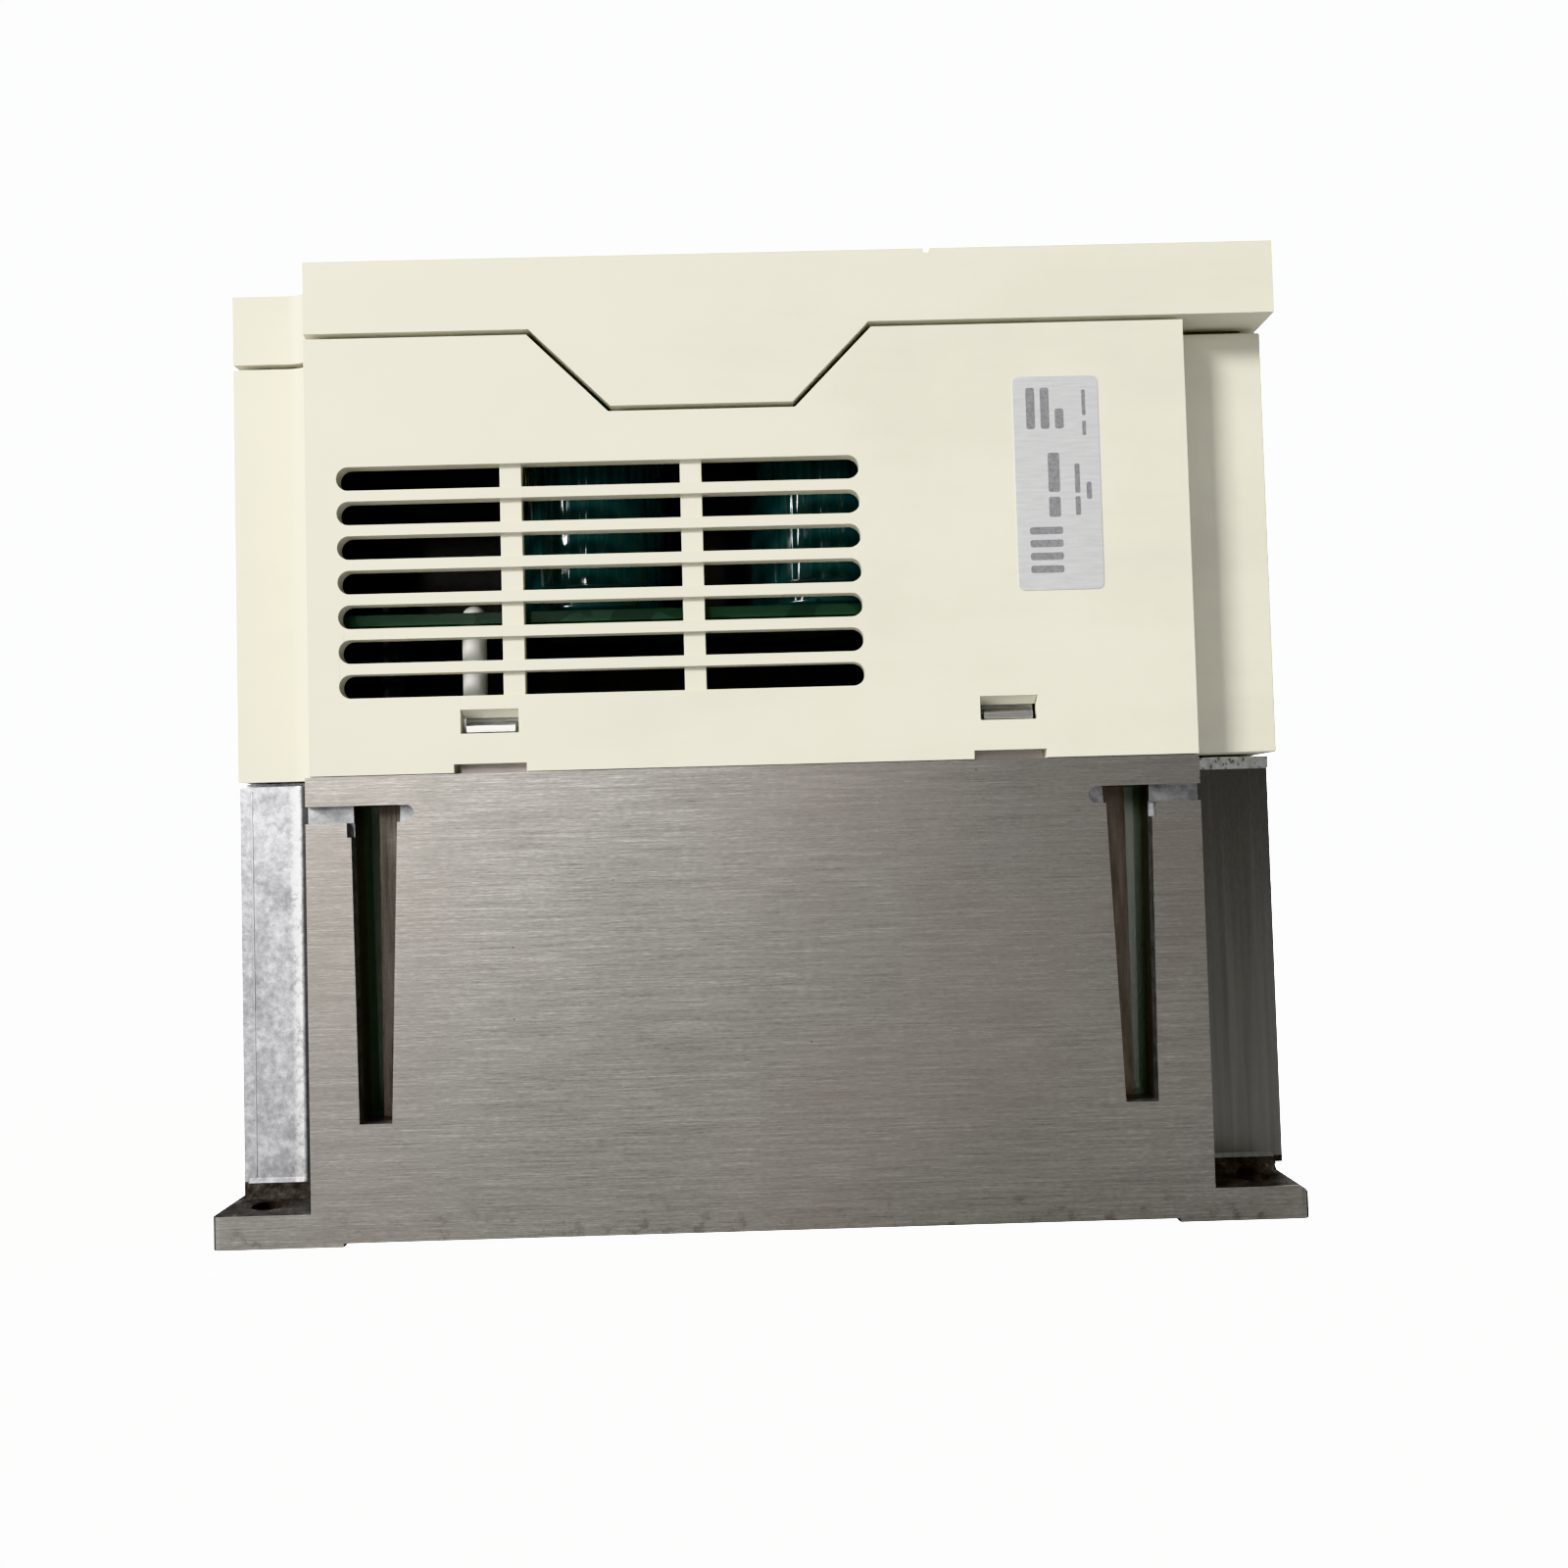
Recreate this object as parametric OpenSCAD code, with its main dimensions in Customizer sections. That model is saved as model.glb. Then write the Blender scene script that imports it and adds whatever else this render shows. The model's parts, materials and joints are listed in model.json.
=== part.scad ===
// Compact wall-mounted variable frequency drive, lying on its back.
// Frame: origin at the centre of the mounting face, +Z out of the front cover,
// -X towards the drive's top end (fans), +X towards its bottom end (wiring).

/* [Overall] */
// Length over the mounting flange, along X
drive_length = 150; // [148:0.5:156]
// Width over the side plates, along Y
drive_width = 140; // [138:0.5:146]
// Depth from the mounting face to the front cover, along Z
drive_depth = 136; // [136:0.5:140]
// Height of the cast heatsink above the mounting face
sink_height = 64; // [64:0.1:64.2]

/* [Mounting] */
// Hole pitch along X
mount_pitch_x = 138; // [137:0.5:139]
// Hole pitch along Y
mount_pitch_y = 128; // [127:0.5:129]
// Mounting hole diameter
mount_hole_d = 5; // [4:0.1:5.5]
// Thickness of the mounting flange
flange_thick = 4.5; // [4:0.1:4.6]

/* [Heatsink] */
// Thickness of one cooling fin
fin_thick = 2; // [1.5:0.1:2.5]
// Distance from one fin to the next
fin_pitch = 7; // [6.5:0.1:8]
// Depth of the slots milled in the side plates
side_slot_deep = 10.3; // [8:0.1:10.5]

/* [Casing] */
// Wall thickness of the moulded casing and covers
wall = 2.4; // [2:0.1:2.6]
// Gap between the casing and the front cover
seam_gap = 0.75; // [0.5:0.05:0.9]
// Number of ventilation slots in each side
vent_count = 7; // [3:1:7]
// Distance from one ventilation slot to the next
vent_pitch = 4.82; // [4.4:0.02:4.82]
// Height of one ventilation slot
vent_high = 3.3; // [2.5:0.1:3.4]

/* [Fans] */
// Side length of one cooling fan
fan_size = 50; // [48:0.5:50]
// Thickness of one cooling fan
fan_thick = 15; // [12:0.5:15]
// Number of blades on one fan
blade_count = 7; // [5:1:9]

/* [Wiring] */
// Diameter of the cable holes in the wiring cover
cable_hole_d = 18; // [14:0.5:20]
// Number of cable holes
cable_hole_count = 3; // [2:1:3]
// Number of power terminals
terminal_count = 10; // [8:1:10]

/* [Operation panel] */
// Length of the operation panel, along X
panel_length = 64; // [62:0.5:66]
// Width of the operation panel, along Y
panel_width = 44; // [43:0.5:46]
// Travel of the keys
key_travel = 0.8; // [0.4:0.1:0.8]

/* [Hidden] */
$fn = 48;
eps = 0.01;
fit_gap = 0.3;

// Plan of the drive: half sizes and corner notches
half_x = drive_length / 2;
half_y = drive_width / 2;
side_x = half_x - 13;
fan_end_y = half_y - 12;
fan_edge_x = side_x - 1.2;
fan_fillet_x = 66.9;
fan_fillet_r = 5;
sink_end_y = half_y - 10;
wiring_y = half_y - 6;
edge_shift = 0.85;

// Heatsink
relief_z = 0.5;
pad_x = 57;
sink_base_z = 58;
sink_end_in = 0.2;
rim_high = 1.7;
channel_y = fan_end_y - 3.5;
outlet_y = sink_end_y - 3;
fin_start_x = -50;
fin_floor_z = 1.2;
fillet_size = 2.5;
sink_edge_x = fan_edge_x + 0.6;
side_slot_x = side_x - 10;
side_slot_low = 16.5;
side_slot_high = 57.6;
side_slot_low_w = 4.45;
side_slot_high_w = 6.45;
side_slot_lean = 0.4;
side_ledge_x = 0.7;
side_ledge_deep = 5.4;
flange_round = 1.8;
flange_corner = 1.2;
cross_slot_high = 2.35;
cross_slot_deep = 1.6;
cross_slot_in = side_x - 14.3;
lead_slot_y = 40;
lead_x = -53.5;

// Casing and front cover
case_bottom = sink_height + 0.1;
case_top = drive_depth - 11;
cover_bottom = case_top + seam_gap;
cover_skin = 2.2;
tongue_top_x1 = -29.5;
tongue_top_x2 = 18;
tongue_low_x1 = -18.3;
tongue_low_x2 = 7.1;
tongue_low_z = cover_bottom - 11.05;
vent_top_z = 105.3;
vent_x1 = -56.5;
vent_x2 = 16.1;
vent_bar_1 = -32.5;
vent_bar_2 = -7.4;
vent_bar_w = 3;
vent_bar_deep = 0.7;
window_low_z = 69.5;
window_high = 3.3;
window_w = 8;
window_x = 35.9;
clip_foot_x = -0.2;
clip_screw_x = 1.8;
edge_notch_w = 10;
edge_notch_high = 1.2;

// Electronics
board_thick = 1.6;
board_z = 85.2;
board_top = board_z + board_thick;
board_x1 = -58;
board_x2 = 57;
board_y = 66.5;
post_r = 1.75;
post_x1 = -39.3;
post_x2 = 50;
post_y = 62.3;
post_tip_z = 88.4;
board_screw_x = [-52, 44];
board_screw_y = 60;
cap_r = 11.2;
cap_y = -54;
cap_x = [-22.5, 11.8];
cap_high = 31.5;
control_z = 108;
sheet_thick = 0.4;
sheet_top = 118;
control_top = control_z + board_thick;
control_x1 = -54;
control_x2 = 40;
control_y1 = -40;
control_y2 = 62;
standoff_r = 2.5;
standoff_xy = [[-50, -36], [-50, 54], [36, -36], [36, 58]];
module_x1 = -8;
module_size = [52, 46, 11];
rectifier_x1 = -46;
rectifier_size = [30, 28, 9];
pad_thick = 0.5;
terminal_pitch = 11;
terminal_block_x1 = 41;
terminal_block_x2 = 57;
terminal_block_z = board_top + 10;
barrier_high = 4;
terminal_half_y = terminal_count * terminal_pitch / 2;

// Fans, along X in the heatsink's inlet pocket
fan_x1 = -71.5;
fan_x2 = fan_x1 + fan_thick;
fan_y = 26.5;
fan_z = 31;
fan_bore_r = fan_size / 2 - 1.5;
fan_hub_r = 11;
fan_shaft_r = 1.5;
fan_blade_r = fan_bore_r - 0.8;
fan_screw_off = fan_size / 2 - 4;

// Operation panel and keys
panel_x1 = -52;
panel_x2 = panel_x1 + panel_length;
panel_y = panel_width / 2;
panel_low = 121.2;
panel_face = 134.4;
panel_wall = 1.6;
pocket_gap = 0.4;
pocket_floor_z = 119.4;
tray_wall = 1.6;
// Finger recess beside the panel
finger_x = 8;
finger_y = 9;
finger_z = 130;
plug_x = -22;
plug_size = [14, 12];
key_top = 135.6;
key_low = 126.4;
key_size = [7.6, 9.4];
key_step_x = 10;
key_step_y = 12.6;
key_x0 = -17;
window_size = [17, 32];
display_x = -39.5;
panel_board_z = 123.6;
// Each key's column along X and row along Y: mode, set, up, down, forward, reverse, stop
key_grid = [[0, -1], [1, -1], [0, 0], [1, 0], [0, 1], [1, 1], [2, 1]];

// Control terminals: spacing, number and the block's middle
control_pitch = 5.6;
control_count = 15;
control_block_x = 31;

// Cable holes in the wiring cover
cable_z = 96;
cable_step = 36;
cover_end_skin = 2.2;

cream = [0.91, 0.9, 0.84];
dark_plastic = [0.15, 0.16, 0.17];
metal = [0.6, 0.58, 0.55];
board_green = [0.1, 0.3, 0.2];
steel = [0.75, 0.75, 0.78];

// ---------- shared shapes ----------

// A box given by its two corners
module block(a, b) {
  translate(a) cube(b - a);
}

// Children as drawn, and again on the other side of the XZ plane
module both_sides() {
  children();
  mirror([0, 1, 0]) children();
}

// A rounded rectangle about the origin, extruded from z = 0
module rounded_plate(size, r, high) {
  linear_extrude(high) union() {
    square([size[0] - 2 * r, size[1]], center = true);
    square([size[0], size[1] - 2 * r], center = true);
    for (sx = [-1, 1], sy = [-1, 1])
      translate([sx * (size[0] / 2 - r), sy * (size[1] / 2 - r)]) circle(r);
  }
}

// A cylinder along +X
module rod_x(r, length) {
  rotate([0, 90, 0]) cylinder(r = r, h = length);
}

// A cross-head screw whose head's underside is at z = 0, shank pointing down
module pan_screw(head_r, head_high, shank_r, shank_long) {
  difference() {
    union() {
      cylinder(r = head_r, h = head_high);
      translate([0, 0, -shank_long]) cylinder(r = shank_r, h = shank_long + eps);
    }
    for (a = [0, 90])
      rotate(a) translate([-head_r * 0.6, -0.35, head_high - 0.7])
        cube([head_r * 1.2, 0.7, 1]);
  }
}

// Hollow fillet of the fan end's corner recess, drawn smaller by inset
function fan_fillet(inset) = [for (a = [90 : -7.5 : 15])
  [-fan_fillet_x, -fan_end_y - fan_fillet_r] + (fan_fillet_r + inset) * [cos(a), sin(a)]];

// Corners of one side of the casing, from the fan end to the wiring end, drawn smaller by inset
function case_side_points(inset) = concat(
  [[-half_x + inset, -(fan_end_y - inset)]],
  fan_fillet(inset),
  [[-fan_edge_x + inset * edge_shift, -(half_y - inset)], [side_x - inset, -(half_y - inset)]]);

// Plan of the casing up to the wiring end, the same on both sides
module case_plan(inset) {
  side = case_side_points(inset);
  polygon(concat(side, [for (i = [len(side) - 1 : -1 : 0]) [side[i][0], -side[i][1]]]));
}

// Plan of the front cover, which runs full width to the wiring end
module cover_plan(inset) {
  union() {
    case_plan(inset);
    translate([0, -(half_y - inset)]) square([half_x - inset, 2 * (half_y - inset)]);
  }
}

// Plan of one half of the heatsink casting
module sink_half_plan() {
  polygon(concat(
    [[-half_x + 0.1, 1], [-half_x + 0.1, -fan_end_y + 0.3],
      [-half_x + 1.6, -fan_end_y + 0.3], [-half_x + 1.8, -fan_end_y]],
    fan_fillet(0),
    [[-sink_edge_x, -half_y], [side_x, -half_y], [side_x + 0.6, -sink_end_y],
      [half_x - sink_end_in, -sink_end_y], [half_x - sink_end_in, 1]]));
}

module sink_plan() {
  union() {
    sink_half_plan();
    mirror([0, 1]) sink_half_plan();
  }
}

// Plan of the mounting flange at the wiring end, with rounded outer corners
module flange_plan() {
  union() {
    translate([pad_x, -half_y]) square([half_x - flange_corner - pad_x, drive_width]);
    translate([pad_x, -half_y + flange_corner])
      square([half_x - pad_x, drive_width - 2 * flange_corner]);
    for (sy = [-1, 1])
      translate([half_x - flange_corner, sy * (half_y - flange_corner)])
        circle(flange_corner, $fn = 24);
  }
}

// ---------- heatsink ----------

// One end of a side plate's machining: an upright slot with a ledge, and a cross groove
module side_slot() {
  top = side_slot_high + cross_slot_high;
  low_x1 = side_slot_lean - side_slot_low_w / 2;
  low_x2 = side_slot_lean + side_slot_low_w / 2;
  translate([side_slot_x, -half_y + side_ledge_deep, 0]) rotate([90, 0, 0])
    linear_extrude(side_ledge_deep + 1)
      polygon([[low_x1, side_slot_low], [low_x2, side_slot_low],
        [side_slot_high_w / 2, top], [-side_slot_high_w / 2, top]]);
  translate([side_slot_x, -half_y + side_slot_deep, 0]) rotate([90, 0, 0])
    linear_extrude(side_slot_deep + 1)
      polygon([[side_ledge_x, side_slot_low], [low_x2, side_slot_low],
        [side_slot_high_w / 2, top], [side_ledge_x, top]]);
  block([side_slot_x, -half_y - 1, side_slot_high - 2],
    [side_slot_x + side_slot_high_w / 2 + 0.5, -half_y + 2, side_slot_high + eps]);
  translate([0, -half_y + cross_slot_deep, side_slot_high]) rotate([90, 0, 0])
    linear_extrude(cross_slot_deep + 1) union() {
      translate([cross_slot_in, 0]) square([side_x - cross_slot_in + 1, cross_slot_high]);
      translate([cross_slot_in, cross_slot_high / 2]) circle(cross_slot_high / 2, $fn = 32);
    }
}

// Air channels between the fins
module fin_channels() {
  gap = fin_pitch - fin_thick;
  for (i = [0 : 16]) {
    y = (i - 8) * fin_pitch;
    edge = abs(y) + gap / 2 > outlet_y;
    block([fin_start_x, y - gap / 2, -1], [side_x - 4, y + gap / 2, sink_base_z]);
    if (!edge)
      block([0, y - gap / 2, flange_thick + fin_floor_z],
        [half_x + 1, y + gap / 2, sink_base_z]);
  }
}

module heatsink() color(metal) {
  difference() {
    union() {
      difference() {
        linear_extrude(sink_height) sink_plan();
        block([-pad_x, -half_y - 1, -1], [pad_x, half_y + 1, relief_z]);
      }
      linear_extrude(flange_thick) {
        flange_plan();
        mirror([1, 0]) flange_plan();
      }
      block([half_x - 4, -sink_end_y, sink_height - rim_high],
        [half_x, sink_end_y, sink_height]);
      both_sides() {
        translate([side_x + 0.4, -sink_end_y, flange_thick]) rotate([90, 0, 90])
          linear_extrude(half_x - side_x - 2)
            polygon([[eps, -eps], [eps, fillet_size], [-fillet_size, -eps]]);
        translate([-half_x + 1, -fan_end_y, flange_thick]) rotate([90, 0, 90])
          linear_extrude(half_x - side_x - 2)
            polygon([[eps, -eps], [eps, fillet_size], [-fillet_size, -eps]]);
      }
    }
    // inlet pocket for the two fans
    block([-half_x - 1, -channel_y, flange_thick + 0.3],
      [fin_start_x + eps, channel_y, sink_base_z - 0.2]);
    fin_channels();
    both_sides() {
      side_slot();
      mirror([1, 0, 0]) side_slot();
      translate([lead_x, lead_slot_y, sink_base_z - 1]) cylinder(r = 2, h = 10, $fn = 32);
    }
    for (sx = [-1, 1], sy = [-1, 1]) {
      translate([sx * mount_pitch_x / 2, sy * mount_pitch_y / 2, -1])
        cylinder(d = mount_hole_d, h = flange_thick + 2);
    }
    // the cast ends lie a little below the machined top
    both_sides() block([-half_x - 1, -half_y - 1, sink_height - 0.6],
      [-sink_edge_x - 1.5, -channel_y - 0.5, sink_height + 1]);
    // rounded top edge on the wiring end's flange
    translate([half_x - flange_round, half_y + 1, flange_thick - flange_round])
      rotate([90, 0, 0]) linear_extrude(drive_width + 2) difference() {
        square(flange_round + 1);
        circle(flange_round, $fn = 48);
      }
  }
}

// ---------- casing ----------

// Outline of the cover's side tongue, grown by grow on every edge
module tongue_plan(grow) {
  slope = grow * 0.42;
  polygon([
    [tongue_top_x1 - slope - grow, cover_bottom + eps],
    [tongue_low_x1 - slope, tongue_low_z - grow],
    [tongue_low_x2 + slope, tongue_low_z - grow],
    [tongue_top_x2 + slope + grow, cover_bottom + eps]]);
}

// One horizontal ventilation slot with round ends
module vent_slot(z) {
  r = vent_high / 2;
  translate([0, -half_y + wall + 1, z]) rotate([90, 0, 0]) linear_extrude(wall + 2) union() {
    translate([vent_x1 + r, -r]) square([vent_x2 - vent_x1 - 2 * r, vent_high]);
    for (x = [vent_x1 + r, vent_x2 - r])
      translate([x, 0]) circle(r, $fn = 24);
  }
}

module case_side_cuts() {
  difference() {
    for (i = [0 : vent_count - 1])
      vent_slot(vent_top_z - i * vent_pitch);
    for (x = [vent_bar_1, vent_bar_2])
      block([x - vent_bar_w / 2, -half_y + vent_bar_deep, 60],
        [x + vent_bar_w / 2, -half_y + wall + 2, 120]);
  }
  for (sx = [-1, 1]) {
    block([sx * window_x - window_w / 2, -half_y - 1, window_low_z],
      [sx * window_x + window_w / 2, -half_y + wall + 1, window_low_z + window_high]);
    block([sx * window_x - edge_notch_w / 2, -half_y - 1, case_bottom - 1],
      [sx * window_x + edge_notch_w / 2, -half_y + wall + 1, case_bottom + edge_notch_high]);
  }
  translate([0, -half_y + wall + 1, 0]) rotate([90, 0, 0])
    linear_extrude(wall + 2) tongue_plan(seam_gap);
}

module case() color(cream) {
  difference() {
    translate([0, 0, case_bottom]) linear_extrude(case_top - case_bottom) difference() {
      case_plan(0);
      case_plan(wall);
    }
    case_side_cuts();
    mirror([0, 1, 0]) case_side_cuts();
    // opening towards the wiring cover
    block([side_x - wall - 1, -58, 70], [side_x + 1, 58, case_top + 1]);
  }
}

module case_clips() color(steel) {
  both_sides() for (sx = [-1, 1]) translate([sx * window_x, 0, 0]) difference() {
    union() {
      block([-3.7, -half_y + wall + 0.1, sink_height], [3.7, -half_y + wall + 1.3, 74]);
      block([-5.4, -half_y + wall + 0.1, sink_height], [5.4, -half_y + wall + 1.3, 66.6]);
      block([clip_foot_x, -half_y + wall + 0.1, sink_height], [3.7, -57, sink_height + 1.2]);
      translate([3.4, -half_y + wall + 0.1 + eps, window_low_z + 0.2]) rotate([90, 0, -90])
        linear_extrude(6.8) polygon([[0, 0], [1.7, 0], [1.7, 0.9], [0, 1.5]]);
    }
    translate([clip_screw_x, -60, sink_height - 1]) cylinder(r = 1.25, h = 4, $fn = 24);
  }
}

module side_label() color([0.78, 0.77, 0.78]) {
  translate([43.75, -half_y, 102.35]) rotate([90, 0, 0]) rounded_plate([11.9, 30], 0.8, 0.1);
}

module rating_label() color([0.78, 0.77, 0.78]) {
  translate([43.5, half_y + 0.1, 98]) rotate([90, 0, 0]) rounded_plate([24, 44], 0.8, 0.1);
}

// ---------- power electronics ----------

module power_board() color(board_green) {
  difference() {
    block([board_x1, -board_y, board_z], [board_x2, board_y, board_top]);
    for (x = [post_x1, post_x2], sy = [-1, 1])
      translate([x, sy * post_y, board_z - 1]) cylinder(r = post_r + 0.05, h = 4);
    for (x = board_screw_x, sy = [-1, 1])
      translate([x, sy * board_screw_y, board_z - 1]) cylinder(r = 1.6, h = 4, $fn = 24);
  }
}

// Moulded wall around the power packages, under the board
module insulating_frame() color(dark_plastic) {
  translate([0, 0, sink_height]) linear_extrude(board_z - sink_height - 0.2) difference() {
    translate([-50, -40]) square([97, 80]);
    translate([-48.4, -38.4]) square([93.8, 76.8]);
  }
}

// Fibre sheet that keeps the capacitors apart from the control electronics
module insulating_sheet() color(dark_plastic) {
  y = cap_y + cap_r + 1;
  x = board_x1 - sheet_thick;
  block([x, y - sheet_thick, board_top], [36, y, sheet_top]);
  // folded down past the end of the board, and back in beside the fan leads
  block([x, -64, sink_height], [board_x1, y, sheet_top]);
  block([x, -46 - sheet_thick, sink_height], [-48, -46, board_z]);
}

module board_posts() color("white") {
  for (x = [post_x1, post_x2], sy = [-1, 1]) translate([x, sy * post_y, 0]) {
    translate([0, 0, sink_height]) cylinder(r = post_r, h = post_tip_z - post_r - sink_height);
    translate([0, 0, post_tip_z - post_r]) sphere(post_r);
    translate([0, 0, sink_height]) cylinder(r = 3, h = 1.5);
    translate([0, 0, board_z - 1]) cylinder(r = 2.4, h = 1);
  }
}

// Board screws on spacers, and the small screws of the casing clips
module board_screws() color(steel) {
  for (x = board_screw_x, sy = [-1, 1]) translate([x, sy * board_screw_y, 0]) {
    translate([0, 0, board_top]) pan_screw(2.8, 2, 1.5, board_thick + 0.2);
    translate([0, 0, sink_height]) cylinder(r = 2.8, h = board_z - sink_height);
  }
  for (sx = [-1, 1], sy = [-1, 1])
    translate([sx * window_x + clip_screw_x, sy * 60, sink_height + 1.2])
      pan_screw(1.8, 1.4, 1.2, 1.2);
}

// Electrolytic capacitor with its crimp groove and vented top
module bus_capacitor(i) color([0.05, 0.12, 0.16]) {
  translate([cap_x[i], cap_y, board_top]) difference() {
    rotate_extrude() polygon([
      [0, 0], [cap_r - 1, 0], [cap_r, 1], [cap_r, 2.4], [cap_r - 0.8, 3.2], [cap_r, 4],
      [cap_r, cap_high - 1], [cap_r - 1, cap_high], [cap_r - 2, cap_high],
      [cap_r - 2, cap_high - 0.5], [0, cap_high - 0.5]]);
    for (a = [0, 60, 120])
      rotate(a) translate([-6, -0.25, cap_high - 0.8]) cube([12, 0.5, 2]);
  }
}
module bus_capacitor_1() { bus_capacitor(0); }
module bus_capacitor_2() { bus_capacitor(1); }

// A power package on the heatsink with two rows of pins up to the board
module power_package(x1, size, pin_pitch) {
  low = sink_height + pad_thick;
  block([x1, -size[1] / 2, low], [x1 + size[0], size[1] / 2, low + size[2]]);
  count = floor((size[0] - 6) / pin_pitch);
  for (i = [0 : count], sy = [-1, 1])
    translate([x1 + 3 + i * pin_pitch, sy * (size[1] / 2 - 3), low + size[2] - eps])
      cylinder(r = 0.6, h = board_z - low - size[2] + eps, $fn = 16);
}

module power_module() color(dark_plastic) {
  power_package(module_x1, module_size, 5.6);
}
module rectifier() color(dark_plastic) {
  power_package(rectifier_x1, rectifier_size, 7.5);
}
module thermal_pads() color("silver") {
  block([module_x1 + 1, -22, sink_height],
    [module_x1 + module_size[0] - 1, 22, sink_height + pad_thick]);
  block([rectifier_x1 + 1, -13, sink_height],
    [rectifier_x1 + rectifier_size[0] - 1, 13, sink_height + pad_thick]);
}

module inrush_relay() color([0.1, 0.25, 0.5]) {
  translate([-44, -18, board_top]) rounded_plate([14, 26], 1, 16);
}

module transformer() color([0.25, 0.2, 0.1]) {
  translate([-14, 38, board_top]) {
    block([-12, -15, 0], [12, 15, 2]);
    block([-12, -13, 2], [12, -8, 19]);
    block([-12, 8, 2], [12, 13, 19]);
    block([-12, -8 - eps, 14.5], [12, 8 + eps, 19]);
    translate([0, -7.9, 8.2]) rotate([-90, 0, 0]) cylinder(r = 6, h = 15.8);
  }
}

module filter_choke() color([0.55, 0.3, 0.12]) {
  translate([-42, 38, board_top]) {
    rotate_extrude() translate([8.2, 6.5]) circle(4.4, $fn = 32);
    difference() {
      cylinder(r = 9.5, h = 3);
      translate([0, 0, -1]) cylinder(r = 5.5, h = 5);
    }
  }
}

module film_capacitors() color([0.15, 0.3, 0.65]) {
  for (i = [0 : 2])
    translate([10 + i * 9, 46, board_top]) rounded_plate([6.5, 20], 1.2, 15);
  for (i = [0 : 1])
    translate([-14 + i * 11, -28, board_top]) rounded_plate([7, 17], 1.2, 13);
}

module current_sensors() color(dark_plastic) {
  for (i = [-1 : 1]) translate([33, i * 22, board_top]) difference() {
    block([-4.5, -8, 0], [4.5, 8, 17]);
    translate([-5, -4.2, 5.9]) cube([10, 8.4, 2.2]);
  }
}

// Copper links from the module side through the sensors to the terminals
module bus_bars() color([0.75, 0.45, 0.25]) {
  for (i = [-1 : 1]) translate([0, i * 22, board_top]) {
    block([22, -4, 6], [terminal_block_x1 - 1, 4, 8]);
    block([22, -4, 0], [24, 4, 6 + eps]);
    block([terminal_block_x1 - 3, -4, 0], [terminal_block_x1 - 1, 4, 6 + eps]);
  }
}

// ---------- power terminals ----------

function terminal_y(i) = (i - (terminal_count - 1) / 2) * terminal_pitch;

module power_terminal_block() color(dark_plastic) {
  difference() {
    union() {
      block([terminal_block_x1, -terminal_half_y - 1, board_top],
        [terminal_block_x2, terminal_half_y + 1, terminal_block_z]);
      for (i = [0 : terminal_count])
        translate([terminal_block_x1, (i - terminal_count / 2) * terminal_pitch - 0.9,
          board_top]) cube([terminal_block_x2 - terminal_block_x1, 1.8,
          terminal_block_z - board_top + barrier_high]);
    }
    for (i = [0 : terminal_count - 1])
      translate([(terminal_block_x1 + terminal_block_x2) / 2, terminal_y(i),
        terminal_block_z - 8]) cylinder(r = 2.05, h = 10, $fn = 32);
  }
}

module power_terminal_screws() color(steel) {
  for (i = [0 : terminal_count - 1])
    translate([(terminal_block_x1 + terminal_block_x2) / 2, terminal_y(i), 0]) {
      difference() {
        translate([-4.2, -4.2, terminal_block_z]) cube([8.4, 8.4, 1]);
        translate([0, 0, terminal_block_z - 1]) cylinder(r = 2.05, h = 3, $fn = 32);
      }
      translate([0, 0, terminal_block_z + 1]) pan_screw(3.6, 2.4, 2, 7);
    }
}

module earth_screws() color([0.3, 0.55, 0.35]) {
  for (y = [-46, -34]) translate([66.5, y, sink_height]) {
    cylinder(r = 4, h = 0.9);
    translate([0, 0, 0.9]) pan_screw(3.4, 2.4, 1.9, 0.5);
  }
}

module charge_lamp() color("red") {
  translate([31, -60, board_top]) {
    cylinder(r = 1.5, h = 4);
    translate([0, 0, 4]) sphere(1.5, $fn = 24);
    cylinder(r = 1.9, h = 1);
  }
}

// ---------- board to board and fan wiring ----------

// Headers for the ribbon cable on both boards, and the two fan sockets under the power board
module header_connectors() color([0.9, 0.88, 0.8]) {
  for (z = [board_top, control_z - 6])
    block([-35, -4, z], [-29, 24, z + 6]);
  for (sy = [-1, 1])
    translate([lead_x, sy * lead_slot_y, board_z - 6]) translate([-3, -4, 0]) cube([6, 8, 6]);
}

module ribbon_cable() color([0.55, 0.57, 0.6]) {
  low = board_top + 6;
  high = control_z - 6;
  bulge = 6;
  mid = (low + high) / 2;
  half = (high - low) / 2;
  translate([-32, 22, 0]) rotate([90, 0, 0]) linear_extrude(24) polygon(concat(
    [for (a = [-90 : 15 : 90]) [bulge * cos(a), mid + half * sin(a)]],
    [for (a = [90 : -15 : -90]) [(bulge - 0.9) * cos(a) - 0.4 * abs(sin(a)) - 0.1,
      mid + half * sin(a)]]));
}

module fan_plugs() color([0.85, 0.83, 0.75]) {
  for (sy = [-1, 1])
    translate([lead_x, sy * lead_slot_y, board_z - 12])
      translate([-2.6, -3.6, 0]) cube([5.2, 7.2, 6]);
}
module fan_leads() color([0.6, 0.1, 0.1]) {
  lead_low = 50;
  r = 0.9;
  for (sy = [-1, 1]) translate([0, sy * lead_slot_y, 0]) {
    translate([lead_x, 0, lead_low]) cylinder(r = r, h = board_z - 12 - lead_low, $fn = 24);
    translate([lead_x, 0, lead_low]) sphere(r, $fn = 24);
    translate([fan_x2, 0, lead_low]) rod_x(r, lead_x - fan_x2);
  }
}

// ---------- fans ----------

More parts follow.
